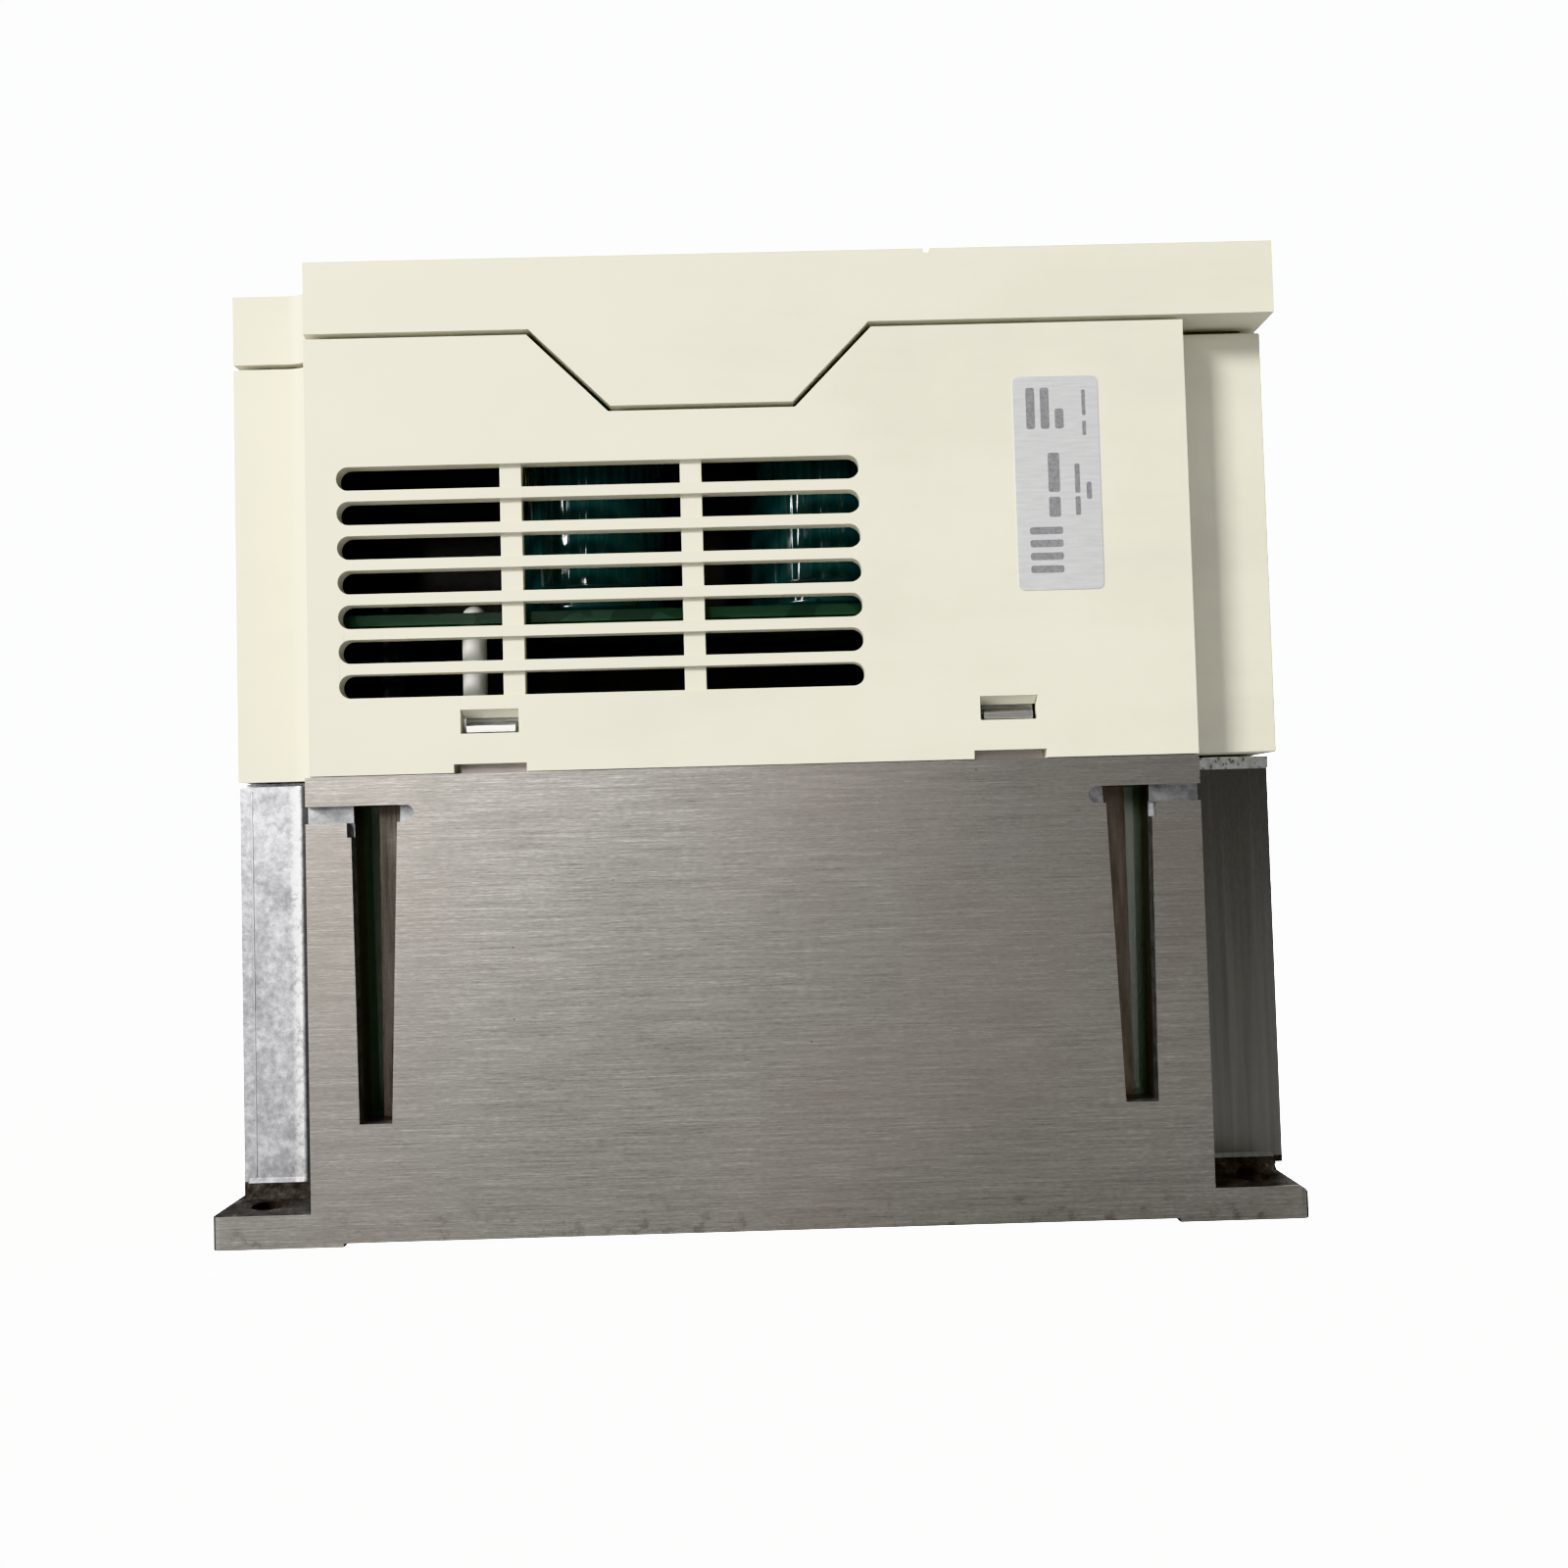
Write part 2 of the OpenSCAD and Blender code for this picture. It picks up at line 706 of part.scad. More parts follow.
module fan_frame(sy) color(dark_plastic) {
  translate([fan_x1, sy * fan_y, fan_z]) {
    difference() {
      rotate([90, 0, 90]) rounded_plate([fan_size, fan_size], 3, fan_thick);
      translate([-1, 0, 0]) rod_x(fan_bore_r, fan_thick + 2);
      for (a = [-1, 1], b = [-1, 1])
        translate([-1, a * fan_screw_off, b * fan_screw_off]) rod_x(1.8, fan_thick + 2);
    }
    // motor base on four arms at the outlet side
    difference() {
      union() {
        translate([fan_thick - 3, 0, 0]) rod_x(fan_hub_r, 3);
        translate([fan_thick - 8, 0, 0]) rod_x(3.2, 6);
        for (a = [45 : 90 : 315])
          rotate([a, 0, 0]) translate([fan_thick - 2.5, -1.2, fan_hub_r - 1])
            cube([2.5, 2.4, fan_bore_r - fan_hub_r + 2]);
      }
      translate([fan_thick - 9, 0, 0]) rod_x(fan_shaft_r + 0.05, 7);
    }
  }
}
module fan_frame_1() { fan_frame(-1); }
module fan_frame_2() { fan_frame(1); }

module fan_rotor(sy) color([0.1, 0.1, 0.11]) {
  translate([fan_x1, sy * fan_y, fan_z]) {
    difference() {
      translate([1.2, 0, 0]) rod_x(fan_hub_r - 0.2, 9.8);
      translate([3, 0, 0]) rod_x(fan_hub_r - 1.6, 9);
    }
    translate([2.5, 0, 0]) rod_x(fan_shaft_r, 9);
    intersection() {
      difference() {
        translate([1.6, 0, 0]) rod_x(fan_blade_r, 9.4);
        rod_x(fan_hub_r - 0.9, 14);
      }
      for (k = [0 : blade_count - 1])
        rotate([k * 360 / blade_count, 0, 0]) translate([6.3, 0, 16]) rotate([0, 0, 38])
          cube([1.4, 14, 16], center = true);
    }
  }
}
module fan_rotor_1() { fan_rotor(-1); }
module fan_rotor_2() { fan_rotor(1); }

module fan_screws() color(steel) {
  for (sy = [-1, 1], a = [-1, 1])
    translate([fan_x1, sy * fan_y + a * fan_screw_off, fan_z + a * fan_screw_off])
      rotate([0, -90, 0]) pan_screw(2.6, 0.8, 1.5, fan_thick);
}

// Moulded guard over the two fans
module fan_cover() color(cream) {
  cover_y = channel_y - fit_gap;
  low = flange_thick + 0.3 + fit_gap;
  high = sink_base_z - 0.2 - fit_gap;
  guard_thick = 2.2;
  difference() {
    block([-half_x, -cover_y, low], [-half_x + guard_thick, cover_y, high]);
    for (sy = [-1, 1]) translate([-half_x - 1, sy * fan_y, fan_z]) difference() {
      rod_x(fan_bore_r - 1, guard_thick + 2);
      for (r = [6, 11, 16, 21]) difference() {
        rod_x(r, guard_thick + 2);
        if (r > 6) translate([-1, 0, 0]) rod_x(r - 1.4, guard_thick + 4);
      }
      for (a = [0 : 60 : 300])
        rotate([a, 0, 0]) translate([0, -0.9, 4]) cube([guard_thick + 2, 1.8, fan_bore_r]);
    }
  }
}

// ---------- control electronics ----------

module control_board() color(board_green) {
  difference() {
    block([control_x1, control_y1, control_z], [control_x2, control_y2, control_top]);
    for (p = standoff_xy)
      translate([p[0], p[1], control_z - 1]) cylinder(r = 1.3, h = 4, $fn = 24);
  }
}

module control_standoffs() color([0.8, 0.65, 0.3]) {
  for (p = standoff_xy) translate([p[0], p[1], board_top])
    cylinder(r = standoff_r, h = control_z - board_top, $fn = 6);
  for (p = standoff_xy) translate([p[0], p[1], control_top])
    pan_screw(2.6, 1.8, 1.2, 0.3);
}

module control_chips() color(dark_plastic) {
  translate([2, 20, control_top]) rounded_plate([20, 20], 0.6, 2);
  translate([-22, 38, control_top]) rounded_plate([18, 10], 0.5, 2.2);
  translate([-2, -20, control_top]) rounded_plate([14, 9], 0.5, 2.2);
  for (i = [0 : 4])
    translate([-44 + i * 9, 52, control_top]) rounded_plate([6, 5], 0.4, 1.6);
  for (i = [0 : 2])
    translate([-44 + i * 8, -32, control_top]) cylinder(r = 2.5, h = 6);
}

module control_terminal_block() color([0.2, 0.45, 0.35]) {
  span = control_count * control_pitch;
  difference() {
    block([control_block_x - 5, -30, control_top], [control_block_x + 5, span - 30, 119.6]);
    for (i = [0 : control_count - 1])
      translate([control_block_x - 1.2, (i + 0.5) * control_pitch - 30, 0]) {
        translate([0, 0, 115]) cylinder(r = 1.7, h = 6, $fn = 24);
        block([3, -1.7, 111.5], [8, 1.7, 115]);
      }
  }
}

module control_terminal_screws() color(steel) {
  for (i = [0 : control_count - 1])
    translate([control_block_x - 1.2, (i + 0.5) * control_pitch - 30, 115]) difference() {
      cylinder(r = 1.6, h = 3.4, $fn = 24);
      translate([-2, -0.3, 2.6]) cube([4, 0.6, 2]);
    }
}

module panel_socket() color(dark_plastic) {
  translate([plug_x, 0, control_top]) difference() {
    translate([-9, -8, 0]) cube([18, 16, 7]);
    translate([-plug_size[0] / 2 - fit_gap, -plug_size[1] / 2 - fit_gap, 2])
      cube([plug_size[0] + 2 * fit_gap, plug_size[1] + 2 * fit_gap, 6]);
  }
}

// ---------- covers ----------

module wiring_cover() color(cream) {
  x1 = side_x + fit_gap;
  low = sink_height + fit_gap;
  skin = cover_end_skin;
  difference() {
    block([x1, -wiring_y, low], [half_x, wiring_y, case_top]);
    block([x1 - 1, -wiring_y + skin, low + skin],
      [half_x - skin, wiring_y - skin, case_top - skin]);
    // room over the earth screws, open towards the heatsink
    block([x1 - 1, -52, low - 1], [half_x - skin, -28, low + skin + 1]);
    for (i = [0 : cable_hole_count - 1])
      translate([half_x - skin - 1, (i - (cable_hole_count - 1) / 2) * cable_step, cable_z])
        rod_x(cable_hole_d / 2, skin + 2);
  }
}

// Two latch arms that stand on the cover's side walls and reach into the casing
module wiring_latches() color(cream) {
  x1 = side_x + fit_gap;
  both_sides() {
    block([side_x - 8, -57.4, 103], [x1 + 4, -55.6, 113]);
    block([x1 + 1, -wiring_y + cover_end_skin, 103], [x1 + 4, -57.4 + eps, 113]);
  }
}

// Side tongue of the front cover
module cover_tongue() {
  translate([0, -half_y + wall, 0]) rotate([90, 0, 0]) linear_extrude(wall) tongue_plan(0);
}

module front_cover() color(cream) {
  top_low = drive_depth - cover_skin;
  px1 = panel_x1 - pocket_gap;
  px2 = panel_x2 + pocket_gap;
  py = panel_y + pocket_gap;
  difference() {
    union() {
      translate([0, 0, cover_bottom]) linear_extrude(drive_depth - cover_bottom)
        difference() {
          cover_plan(0);
          cover_plan(wall);
        }
      translate([0, 0, top_low]) linear_extrude(cover_skin) cover_plan(wall / 2);
      both_sides() {
        block([side_x + fit_gap, -half_y + eps, cover_bottom],
          [half_x - eps, -wiring_y + 1.5, cover_bottom + 2.2]);
        cover_tongue();
        // locating lugs behind the casing wall
        for (x = [-46, 46])
          block([x - 6, -half_y + wall + 0.3, 118], [x + 6, -half_y + wall + 2, top_low + eps]);
        for (x = [-46, 46])
          block([x - 6, -half_y + wall - 1, cover_bottom + 2],
            [x + 6, -half_y + wall + 2, top_low + eps]);
      }
    }
    block([px1, -py, top_low - 1], [px2, py, drive_depth + 1]);
    block([px2 - 1, -finger_y, top_low - 1], [px2 + finger_x, finger_y, drive_depth + 1]);
    // shallow line between the panel area and the terminal area
    block([26, -half_y - 1, drive_depth - 0.6], [26.8, half_y + 1, drive_depth + 1]);
    // ventilation slots at the fan end
    for (i = [-5 : 5])
      translate([-64, i * 9.4, top_low - 1]) rounded_plate([7, 3], 1.4, 5);
  }
}

// Tray under the front cover's opening, which holds the operation panel
module panel_tray() color(cream) {
  top_low = drive_depth - cover_skin;
  px1 = panel_x1 - pocket_gap;
  px2 = panel_x2 + pocket_gap;
  py = panel_y + pocket_gap;
  difference() {
    union() {
      block([px1 - panel_wall, -py - panel_wall, pocket_floor_z],
        [px2 + panel_wall, py + panel_wall, top_low]);
      // floor of the finger recess beside the panel
      block([px2, -finger_y - tray_wall, finger_z - tray_wall],
        [px2 + finger_x + tray_wall, finger_y + tray_wall, top_low]);
    }
    block([px1, -py, pocket_floor_z + tray_wall], [px2, py, drive_depth]);
    block([px2 - 1, -finger_y, finger_z], [px2 + finger_x, finger_y, drive_depth]);
    block([plug_x - plug_size[0] / 2 - 0.5, -plug_size[1] / 2 - 0.5, pocket_floor_z - 1],
      [plug_x + plug_size[0] / 2 + 0.5, plug_size[1] / 2 + 0.5, 122]);
  }
}

// ---------- operation panel ----------

function key_pos(k) = [key_x0 + key_grid[k][0] * key_step_x, key_grid[k][1] * key_step_y];

module panel_case() color(dark_plastic) {
  difference() {
    block([panel_x1, -panel_y, panel_low], [panel_x2, panel_y, panel_face]);
    block([panel_x1 + panel_wall, -panel_y + panel_wall, panel_low - 1],
      [panel_x2 - panel_wall, panel_y - panel_wall, panel_face - panel_wall]);
    for (k = [0 : 6])
      translate([key_pos(k)[0], key_pos(k)[1], panel_face - 4])
        rounded_plate([key_size[0] + 2 * fit_gap, key_size[1] + 2 * fit_gap], 1.5, 8);
    translate([display_x, 0, panel_face - 4]) rounded_plate(window_size, 1, 8);
    for (i = [-1 : 1])
      translate([-26.4, i * 9, panel_face - 4]) cylinder(r = 1.1, h = 6, $fn = 24);
  }
}

module display_window() color([0.3, 0.05, 0.05, 0.5]) {
  translate([display_x, 0, panel_face - 1.5])
    rounded_plate([window_size[0] - 0.1, window_size[1] - 0.1], 0.95, 1.2);
}

module digit_display() color([0.75, 0.2, 0.15]) {
  translate([display_x, 0, panel_board_z + 1.2]) {
    translate([-6.5, -14.5, 0]) cube([13, 29, 5.6]);
  }
}

module panel_board() color(board_green) {
  block([panel_x1 + panel_wall + 0.2, -panel_y + panel_wall + 0.2, panel_board_z],
    [panel_x2 - panel_wall - 0.2, panel_y - panel_wall - 0.2, panel_board_z + 1.2]);
}

module panel_back() color(dark_plastic) {
  difference() {
    block([panel_x1 + panel_wall, -panel_y + panel_wall, panel_low],
      [panel_x2 - panel_wall, panel_y - panel_wall, panel_board_z]);
    block([panel_x1 + panel_wall + 2, -panel_y + panel_wall + 2, panel_low + 1.4],
      [panel_x2 - panel_wall - 2, panel_y - panel_wall - 2, panel_board_z + 1]);
    block([plug_x - plug_size[0] / 2, -plug_size[1] / 2, panel_low - 1],
      [plug_x + plug_size[0] / 2, plug_size[1] / 2, panel_board_z]);
  }
}

module panel_plug() color("black") {
  translate([plug_x, 0, 0]) difference() {
    block([-plug_size[0] / 2, -plug_size[1] / 2, 113], [plug_size[0] / 2, plug_size[1] / 2,
      panel_board_z]);
    for (i = [-3 : 3])
      block([-4, i * 1.5 - 0.35, 112], [4, i * 1.5 + 0.35, 115]);
  }
}

module key_switches() color("silver") {
  for (k = [0 : 6])
    translate([key_pos(k)[0], key_pos(k)[1], panel_board_z + 1.2])
      cylinder(r = 2, h = 0.5, $fn = 32);
}

module panel_lamps() color([0.2, 0.8, 0.3]) {
  for (i = [-1 : 1]) translate([-26.4, i * 9, panel_board_z + 1.2]) {
    cylinder(r = 1, h = panel_face - panel_board_z - 1.4, $fn = 24);
  }
}

// A key: rounded cap, neck through the panel face, and a foot that keeps it in
module key(k) {
  p = key_pos(k);
  translate([p[0], p[1], 0]) {
    translate([0, 0, panel_face - panel_wall - 0.3 - eps])
      rounded_plate(key_size, 1.3, key_top - panel_face + panel_wall + 0.3 + eps);
    translate([0, 0, panel_face - panel_wall - 1.5])
      rounded_plate([key_size[0] + 1.2, key_size[1] + 1.2], 1.5, 1.2);
    translate([0, 0, key_low]) cylinder(r = 1.8, h = 5, $fn = 32);
  }
}
module key_mode() color([0.6, 0.6, 0.62]) key(0);
module key_set() color([0.6, 0.6, 0.62]) key(1);
module key_up() color([0.6, 0.6, 0.62]) key(2);
module key_down() color([0.6, 0.6, 0.62]) key(3);
module key_forward() color([0.2, 0.45, 0.3]) key(4);
module key_reverse() color([0.2, 0.45, 0.3]) key(5);
module key_stop() color([0.7, 0.15, 0.12]) key(6);

heatsink();
case();
case_clips();
side_label();
rating_label();
power_board();
board_posts();
board_screws();
bus_capacitor_1();
bus_capacitor_2();
insulating_frame();
insulating_sheet();
power_module();
rectifier();
thermal_pads();
inrush_relay();
transformer();
filter_choke();
film_capacitors();
current_sensors();
bus_bars();
power_terminal_block();
power_terminal_screws();
earth_screws();
charge_lamp();
header_connectors();
ribbon_cable();
fan_plugs();
fan_leads();
fan_frame_1();
fan_frame_2();
fan_screws();
fan_rotor_1();
fan_rotor_2();
fan_cover();
control_board();
control_standoffs();
control_chips();
control_terminal_block();
control_terminal_screws();
panel_socket();
wiring_cover();
wiring_latches();
front_cover();
panel_tray();
panel_case();
panel_back();
panel_board();
panel_plug();
key_switches();
digit_display();
display_window();
panel_lamps();
key_mode();
key_set();
key_up();
key_down();
key_forward();
key_reverse();
key_stop();
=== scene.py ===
"""Looks of the variable frequency drive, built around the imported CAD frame. Metres throughout."""
import json
import math
import random

import bmesh
import bpy
from mathutils import Matrix, Vector


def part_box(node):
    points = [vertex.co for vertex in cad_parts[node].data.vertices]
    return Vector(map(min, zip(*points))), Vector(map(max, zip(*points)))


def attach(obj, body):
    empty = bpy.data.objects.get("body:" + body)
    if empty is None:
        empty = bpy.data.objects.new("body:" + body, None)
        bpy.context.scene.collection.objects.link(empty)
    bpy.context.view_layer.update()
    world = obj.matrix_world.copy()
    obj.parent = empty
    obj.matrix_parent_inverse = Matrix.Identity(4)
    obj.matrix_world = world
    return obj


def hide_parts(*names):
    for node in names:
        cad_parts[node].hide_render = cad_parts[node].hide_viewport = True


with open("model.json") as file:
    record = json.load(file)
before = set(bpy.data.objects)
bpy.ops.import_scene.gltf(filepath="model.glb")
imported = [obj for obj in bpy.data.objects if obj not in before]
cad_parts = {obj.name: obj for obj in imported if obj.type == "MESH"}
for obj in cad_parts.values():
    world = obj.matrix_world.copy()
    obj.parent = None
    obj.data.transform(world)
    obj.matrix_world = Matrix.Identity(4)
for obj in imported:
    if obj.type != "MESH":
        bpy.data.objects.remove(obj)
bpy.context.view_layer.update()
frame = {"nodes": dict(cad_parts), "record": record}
MM = 0.001
NODES = frame["nodes"]
SLOT_OF = {row["node"]: row["material_slot"] for row in frame["record"]["subparts"]}
SENSOR_WIDTH = 36
CAMERA_PLACE, CAMERA_TURN, CAMERA_LENS = (0.00237, -0.26581, 0.05391), (92.184, 1.561, -0.549), 32.625
LIGHT_AIM = Vector((0, 0, 0.065))


# ---------------------------------------------------------------- camera, light and floor

def make_camera():
    cam = bpy.data.objects.new("camera", bpy.data.cameras.new("camera"))
    bpy.context.collection.objects.link(cam)
    cam.location = CAMERA_PLACE
    cam.rotation_euler = [math.radians(a) for a in CAMERA_TURN]
    cam.data.sensor_width = SENSOR_WIDTH
    cam.data.lens = CAMERA_LENS
    cam.data.clip_start = 0.01
    bpy.context.scene.camera = cam


def area_light(name, place, size, watts, colour=(1, 1, 1), tall=None):
    """A rectangular lamp, as tall as it is wide unless told otherwise, aimed at the drive."""
    lamp = bpy.data.lights.new(name, "AREA")
    lamp.shape, lamp.size, lamp.size_y = "RECTANGLE", size, tall or size
    lamp.energy, lamp.color = watts, colour
    ob = bpy.data.objects.new(name, lamp)
    ob.location = place
    ob.rotation_euler = (LIGHT_AIM - ob.location).to_track_quat("-Z", "Y").to_euler()
    bpy.context.collection.objects.link(ob)


SEEN_SKY, SEEN_FLOOR = 5, 3.0   # brightness of the surround and floor as the camera sees them


def make_world():
    """A pale surround that lights more from the upper left than from the right."""
    world = bpy.data.worlds.new("studio")
    bpy.context.scene.world = world
    world.use_nodes = True
    tree = world.node_tree
    background = tree.nodes["Background"]
    coord = tree.nodes.new("ShaderNodeTexCoord")
    along = tree.nodes.new("ShaderNodeVectorMath")
    along.operation = "DOT_PRODUCT"
    along.inputs[1].default_value = (-0.45, 0.65, 0.61)
    tree.links.new(coord.outputs["Generated"], along.inputs[0])
    shade = tree.nodes.new("ShaderNodeMapRange")
    tree.links.new(along.outputs["Value"], shade.inputs[0])
    shade.inputs[1].default_value = -0.7
    shade.inputs[2].default_value = 1.0
    shade.inputs[3].default_value = 0.04
    shade.inputs[4].default_value = 0.9
    path = tree.nodes.new("ShaderNodeLightPath")
    seen = tree.nodes.new("ShaderNodeMix")
    tree.links.new(path.outputs["Is Camera Ray"], seen.inputs[0])
    tree.links.new(shade.outputs[0], seen.inputs[2])
    seen.inputs[3].default_value = SEEN_SKY
    tree.links.new(seen.outputs[0], background.inputs[1])
    background.inputs[0].default_value = (0.985, 0.99, 1, 1)


def make_floor():
    """A pale paper floor that fades into the background with distance."""
    mesh = bpy.data.meshes.new("floor")
    rings, around = (0.4, 0.9, 1.6, 2.4), 64
    verts = [(0, 0, 0)]
    for r in rings:
        verts += [(r * math.cos(math.tau * k / around), r * math.sin(math.tau * k / around), 0)
                  for k in range(around)]
    faces = [(0, 1 + k, 1 + (k + 1) % around) for k in range(around)]
    for ring in range(len(rings) - 1):
        a, b = 1 + ring * around, 1 + (ring + 1) * around
        faces += [(a + k, b + k, b + (k + 1) % around, a + (k + 1) % around) for k in range(around)]
    mesh.from_pydata(verts, [], faces)
    ob = bpy.data.objects.new("floor", mesh)
    bpy.context.collection.objects.link(ob)
    s = Shader("floor_paper")
    away = s.node("ShaderNodeVectorMath", operation="LENGTH")
    s.link(s.coord, away.inputs[0])
    fade = s.remap(away.outputs["Value"], 0.35, 2.1, 1, 0)
    grain = s.noise(900, 2)
    direct = s.node("ShaderNodeLightPath").outputs["Is Camera Ray"]
    paper = s.ramp(grain, [(0.3, 0.93), (0.7, 0.96)])
    s.set(base_color=s.mix(direct, 0.4, paper), roughness=0.9, alpha=fade,
          emission_color=(1.0, 1.0, 1.0), emission_strength=s.math("MULTIPLY", direct, SEEN_FLOOR))
    mesh.materials.append(s.mat)


# ---------------------------------------------------------------- material helpers

class Shader:
    """A node material with short calls for the nodes used here."""

    SOCKETS = {"ior": "IOR", "specular": "Specular IOR Level"}

    def __init__(self, name):
        self.mat = bpy.data.materials.new(name)
        self.mat.use_nodes = True
        self.tree = self.mat.node_tree
        self.bsdf = self.tree.nodes["Principled BSDF"]
        self.coord = self.node("ShaderNodeTexCoord").outputs["Object"]

    def node(self, kind, **settings):
        made = self.tree.nodes.new(kind)
        for key, value in settings.items():
            setattr(made, key, value)
        return made

    def link(self, source, target):
        self.tree.links.new(source, target)

    def put(self, socket, value):
        if isinstance(value, bpy.types.NodeSocket):
            self.link(value, socket)
        elif socket.type == "RGBA":
            value = value if isinstance(value, (tuple, list)) else (value, value, value)
            socket.default_value = (*value[:3], 1)
        else:
            socket.default_value = value

    def set(self, **values):
        for key, value in values.items():
            self.put(self.bsdf.inputs[self.SOCKETS.get(key, key.replace("_", " ").title())], value)
        return self

    def scaled(self, x, y, z):
        made = self.node("ShaderNodeMapping")
        self.link(self.coord, made.inputs[0])
        made.inputs["Scale"].default_value = (x, y, z)
        return made.outputs[0]

    def noise(self, scale, detail=2, rough=0.5, vector=None):
        made = self.node("ShaderNodeTexNoise")
        self.link(vector or self.coord, made.inputs["Vector"])
        made.inputs["Scale"].default_value = scale
        made.inputs["Detail"].default_value = detail
        made.inputs["Roughness"].default_value = rough
        return made.outputs["Fac"]

    def specks(self, scale, radius, share):
        """1 in small round spots, in a share of the cells of a grid of that scale."""
        made = self.node("ShaderNodeTexVoronoi")
        self.link(self.coord, made.inputs["Vector"])
        made.inputs["Scale"].default_value = scale
        near = self.remap(made.outputs["Distance"], radius * 0.6 * scale, radius * scale, 1, 0)
        split = self.node("ShaderNodeSeparateColor")
        self.link(made.outputs["Color"], split.inputs[0])
        return self.math("MULTIPLY", near, self.math("LESS_THAN", split.outputs[0], share))

    def remap(self, value, low, high, to_low=0.0, to_high=1.0):
        made = self.node("ShaderNodeMapRange")
        self.put(made.inputs[0], value)
        for i, number in enumerate((low, high, to_low, to_high)):
            made.inputs[i + 1].default_value = number
        return made.outputs[0]

    def ramp(self, value, stops):
        made = self.node("ShaderNodeValToRGB")
        self.link(value, made.inputs[0])
        line = made.color_ramp
        while len(line.elements) < len(stops):
            line.elements.new(0.5)
        for element, (place, colour) in zip(line.elements, stops):
            element.position = place
            if not isinstance(colour, (tuple, list)):
                colour = (colour, colour, colour)
            element.color = (*colour, 1)
        return made.outputs[0]

    def math(self, operation, a, b=0.0):
        made = self.node("ShaderNodeMath", operation=operation)
        self.put(made.inputs[0], a)
        self.put(made.inputs[1], b)
        return made.outputs[0]

    def mix(self, factor, a, b, blend="MIX"):
        made = self.node("ShaderNodeMix", data_type="RGBA", blend_type=blend)
        self.put(made.inputs[0], factor)
        self.put(made.inputs[6], a)
        self.put(made.inputs[7], b)
        return made.outputs[2]

    def blend(self, factor, a, b):
        """Mix of two numbers."""
        made = self.node("ShaderNodeMix")
        self.put(made.inputs[0], factor)
        self.put(made.inputs[2], a)
        self.put(made.inputs[3], b)
        return made.outputs[0]

    def axes(self):
        made = self.node("ShaderNodeSeparateXYZ")
        self.link(self.coord, made.inputs[0])
        return made.outputs

    def bump(self, height, strength, distance=0.0001):
        made = self.node("ShaderNodeBump")
        made.inputs["Strength"].default_value = strength
        made.inputs["Distance"].default_value = distance
        self.link(height, made.inputs["Height"])
        self.link(made.outputs[0], self.bsdf.inputs["Normal"])


def shaded(colour, factor):
    return tuple(min(1.0, c * factor) for c in colour)


def plastic(name, colour, rough=0.45, grain=0.2, grain_scale=4200, variation=0.04,
            specks=0.0, **more):
    """Moulded plastic with a fine spark-eroded grain, faint tone changes and a little dirt."""
    s = Shader(name)
    tone = s.ramp(s.noise(38, 4, 0.6), [(0.3, shaded(colour, 1 - variation)),
                                        (0.7, shaded(colour, 1 + variation))])
    if specks:
        spots = s.math("MULTIPLY", s.specks(95, 0.00022, specks), 0.7)
        tone = s.mix(spots, tone, shaded(colour, 0.25))
    fine = s.noise(grain_scale, 2, 0.6)
    s.set(base_color=tone, roughness=s.remap(fine, 0.3, 0.7, rough - 0.06, rough + 0.06), **more)
    s.bump(fine, grain, 0.00004)
    return s.mat


def metal(name, colour, rough=0.3, scale=900, stretch=(1, 1, 1), strength=0.2):
    """Plated or turned metal with fine tooling marks."""
    s = Shader(name)
    marks = s.noise(scale, 3, 0.6, s.scaled(*stretch))
    s.set(metallic=1.0, base_color=s.ramp(marks, [(0.3, shaded(colour, 0.78)), (0.7, colour)]),
          roughness=s.remap(marks, 0.3, 0.7, rough + 0.1, rough - 0.05))
    s.bump(marks, strength, 0.00005)
    return s.mat


# ---------------------------------------------------------------- materials

def cream_plastic():
    """Warm off-white plastic: moulding flow, fine grain, dark specks and pale scuffs."""
    s = Shader("cream_plastic")
    base = (0.785, 0.765, 0.655)
    flow = s.noise(1, 4, 0.6, s.scaled(14, 14, 70))
    cloud = s.noise(30, 4, 0.65)
    tone = s.ramp(s.math("ADD", s.math("MULTIPLY", flow, 0.5), s.math("MULTIPLY", cloud, 0.5)),
                  [(0.35, shaded(base, 0.945)), (0.5, base), (0.65, shaded(base, 1.035))])
    grime = s.remap(s.noise(11, 5, 0.7), 0.55, 0.8, 0, 0.35)
    tone = s.mix(grime, tone, (0.70, 0.665, 0.53))
    tone = s.mix(s.math("MULTIPLY", s.specks(75, 0.00028, 0.16), 0.75), tone, (0.20, 0.17, 0.12))
    scuff = s.math("MULTIPLY", s.specks(48, 0.0011, 0.05), s.remap(s.noise(1400, 3), 0.45, 0.6))
    tone = s.mix(s.math("MULTIPLY", scuff, 0.5), tone, (0.62, 0.59, 0.5))
    fine = s.noise(4300, 3, 0.6)
    s.set(base_color=tone, roughness=s.remap(fine, 0.3, 0.7, 0.38, 0.52), specular=0.42)
    s.bump(fine, 0.22, 0.00004)
    return s.mat


# Limits of the casting's zones: milled flank, its outer ends, flange, and bright rim
FLANK_Y, DRAWN_X, CAST_X = 0.0698, 0.06205, -0.06145
FLANGE_TOP, DRAWN_LOW, RIM_LOW = 0.0064, 0.0062, 0.0622


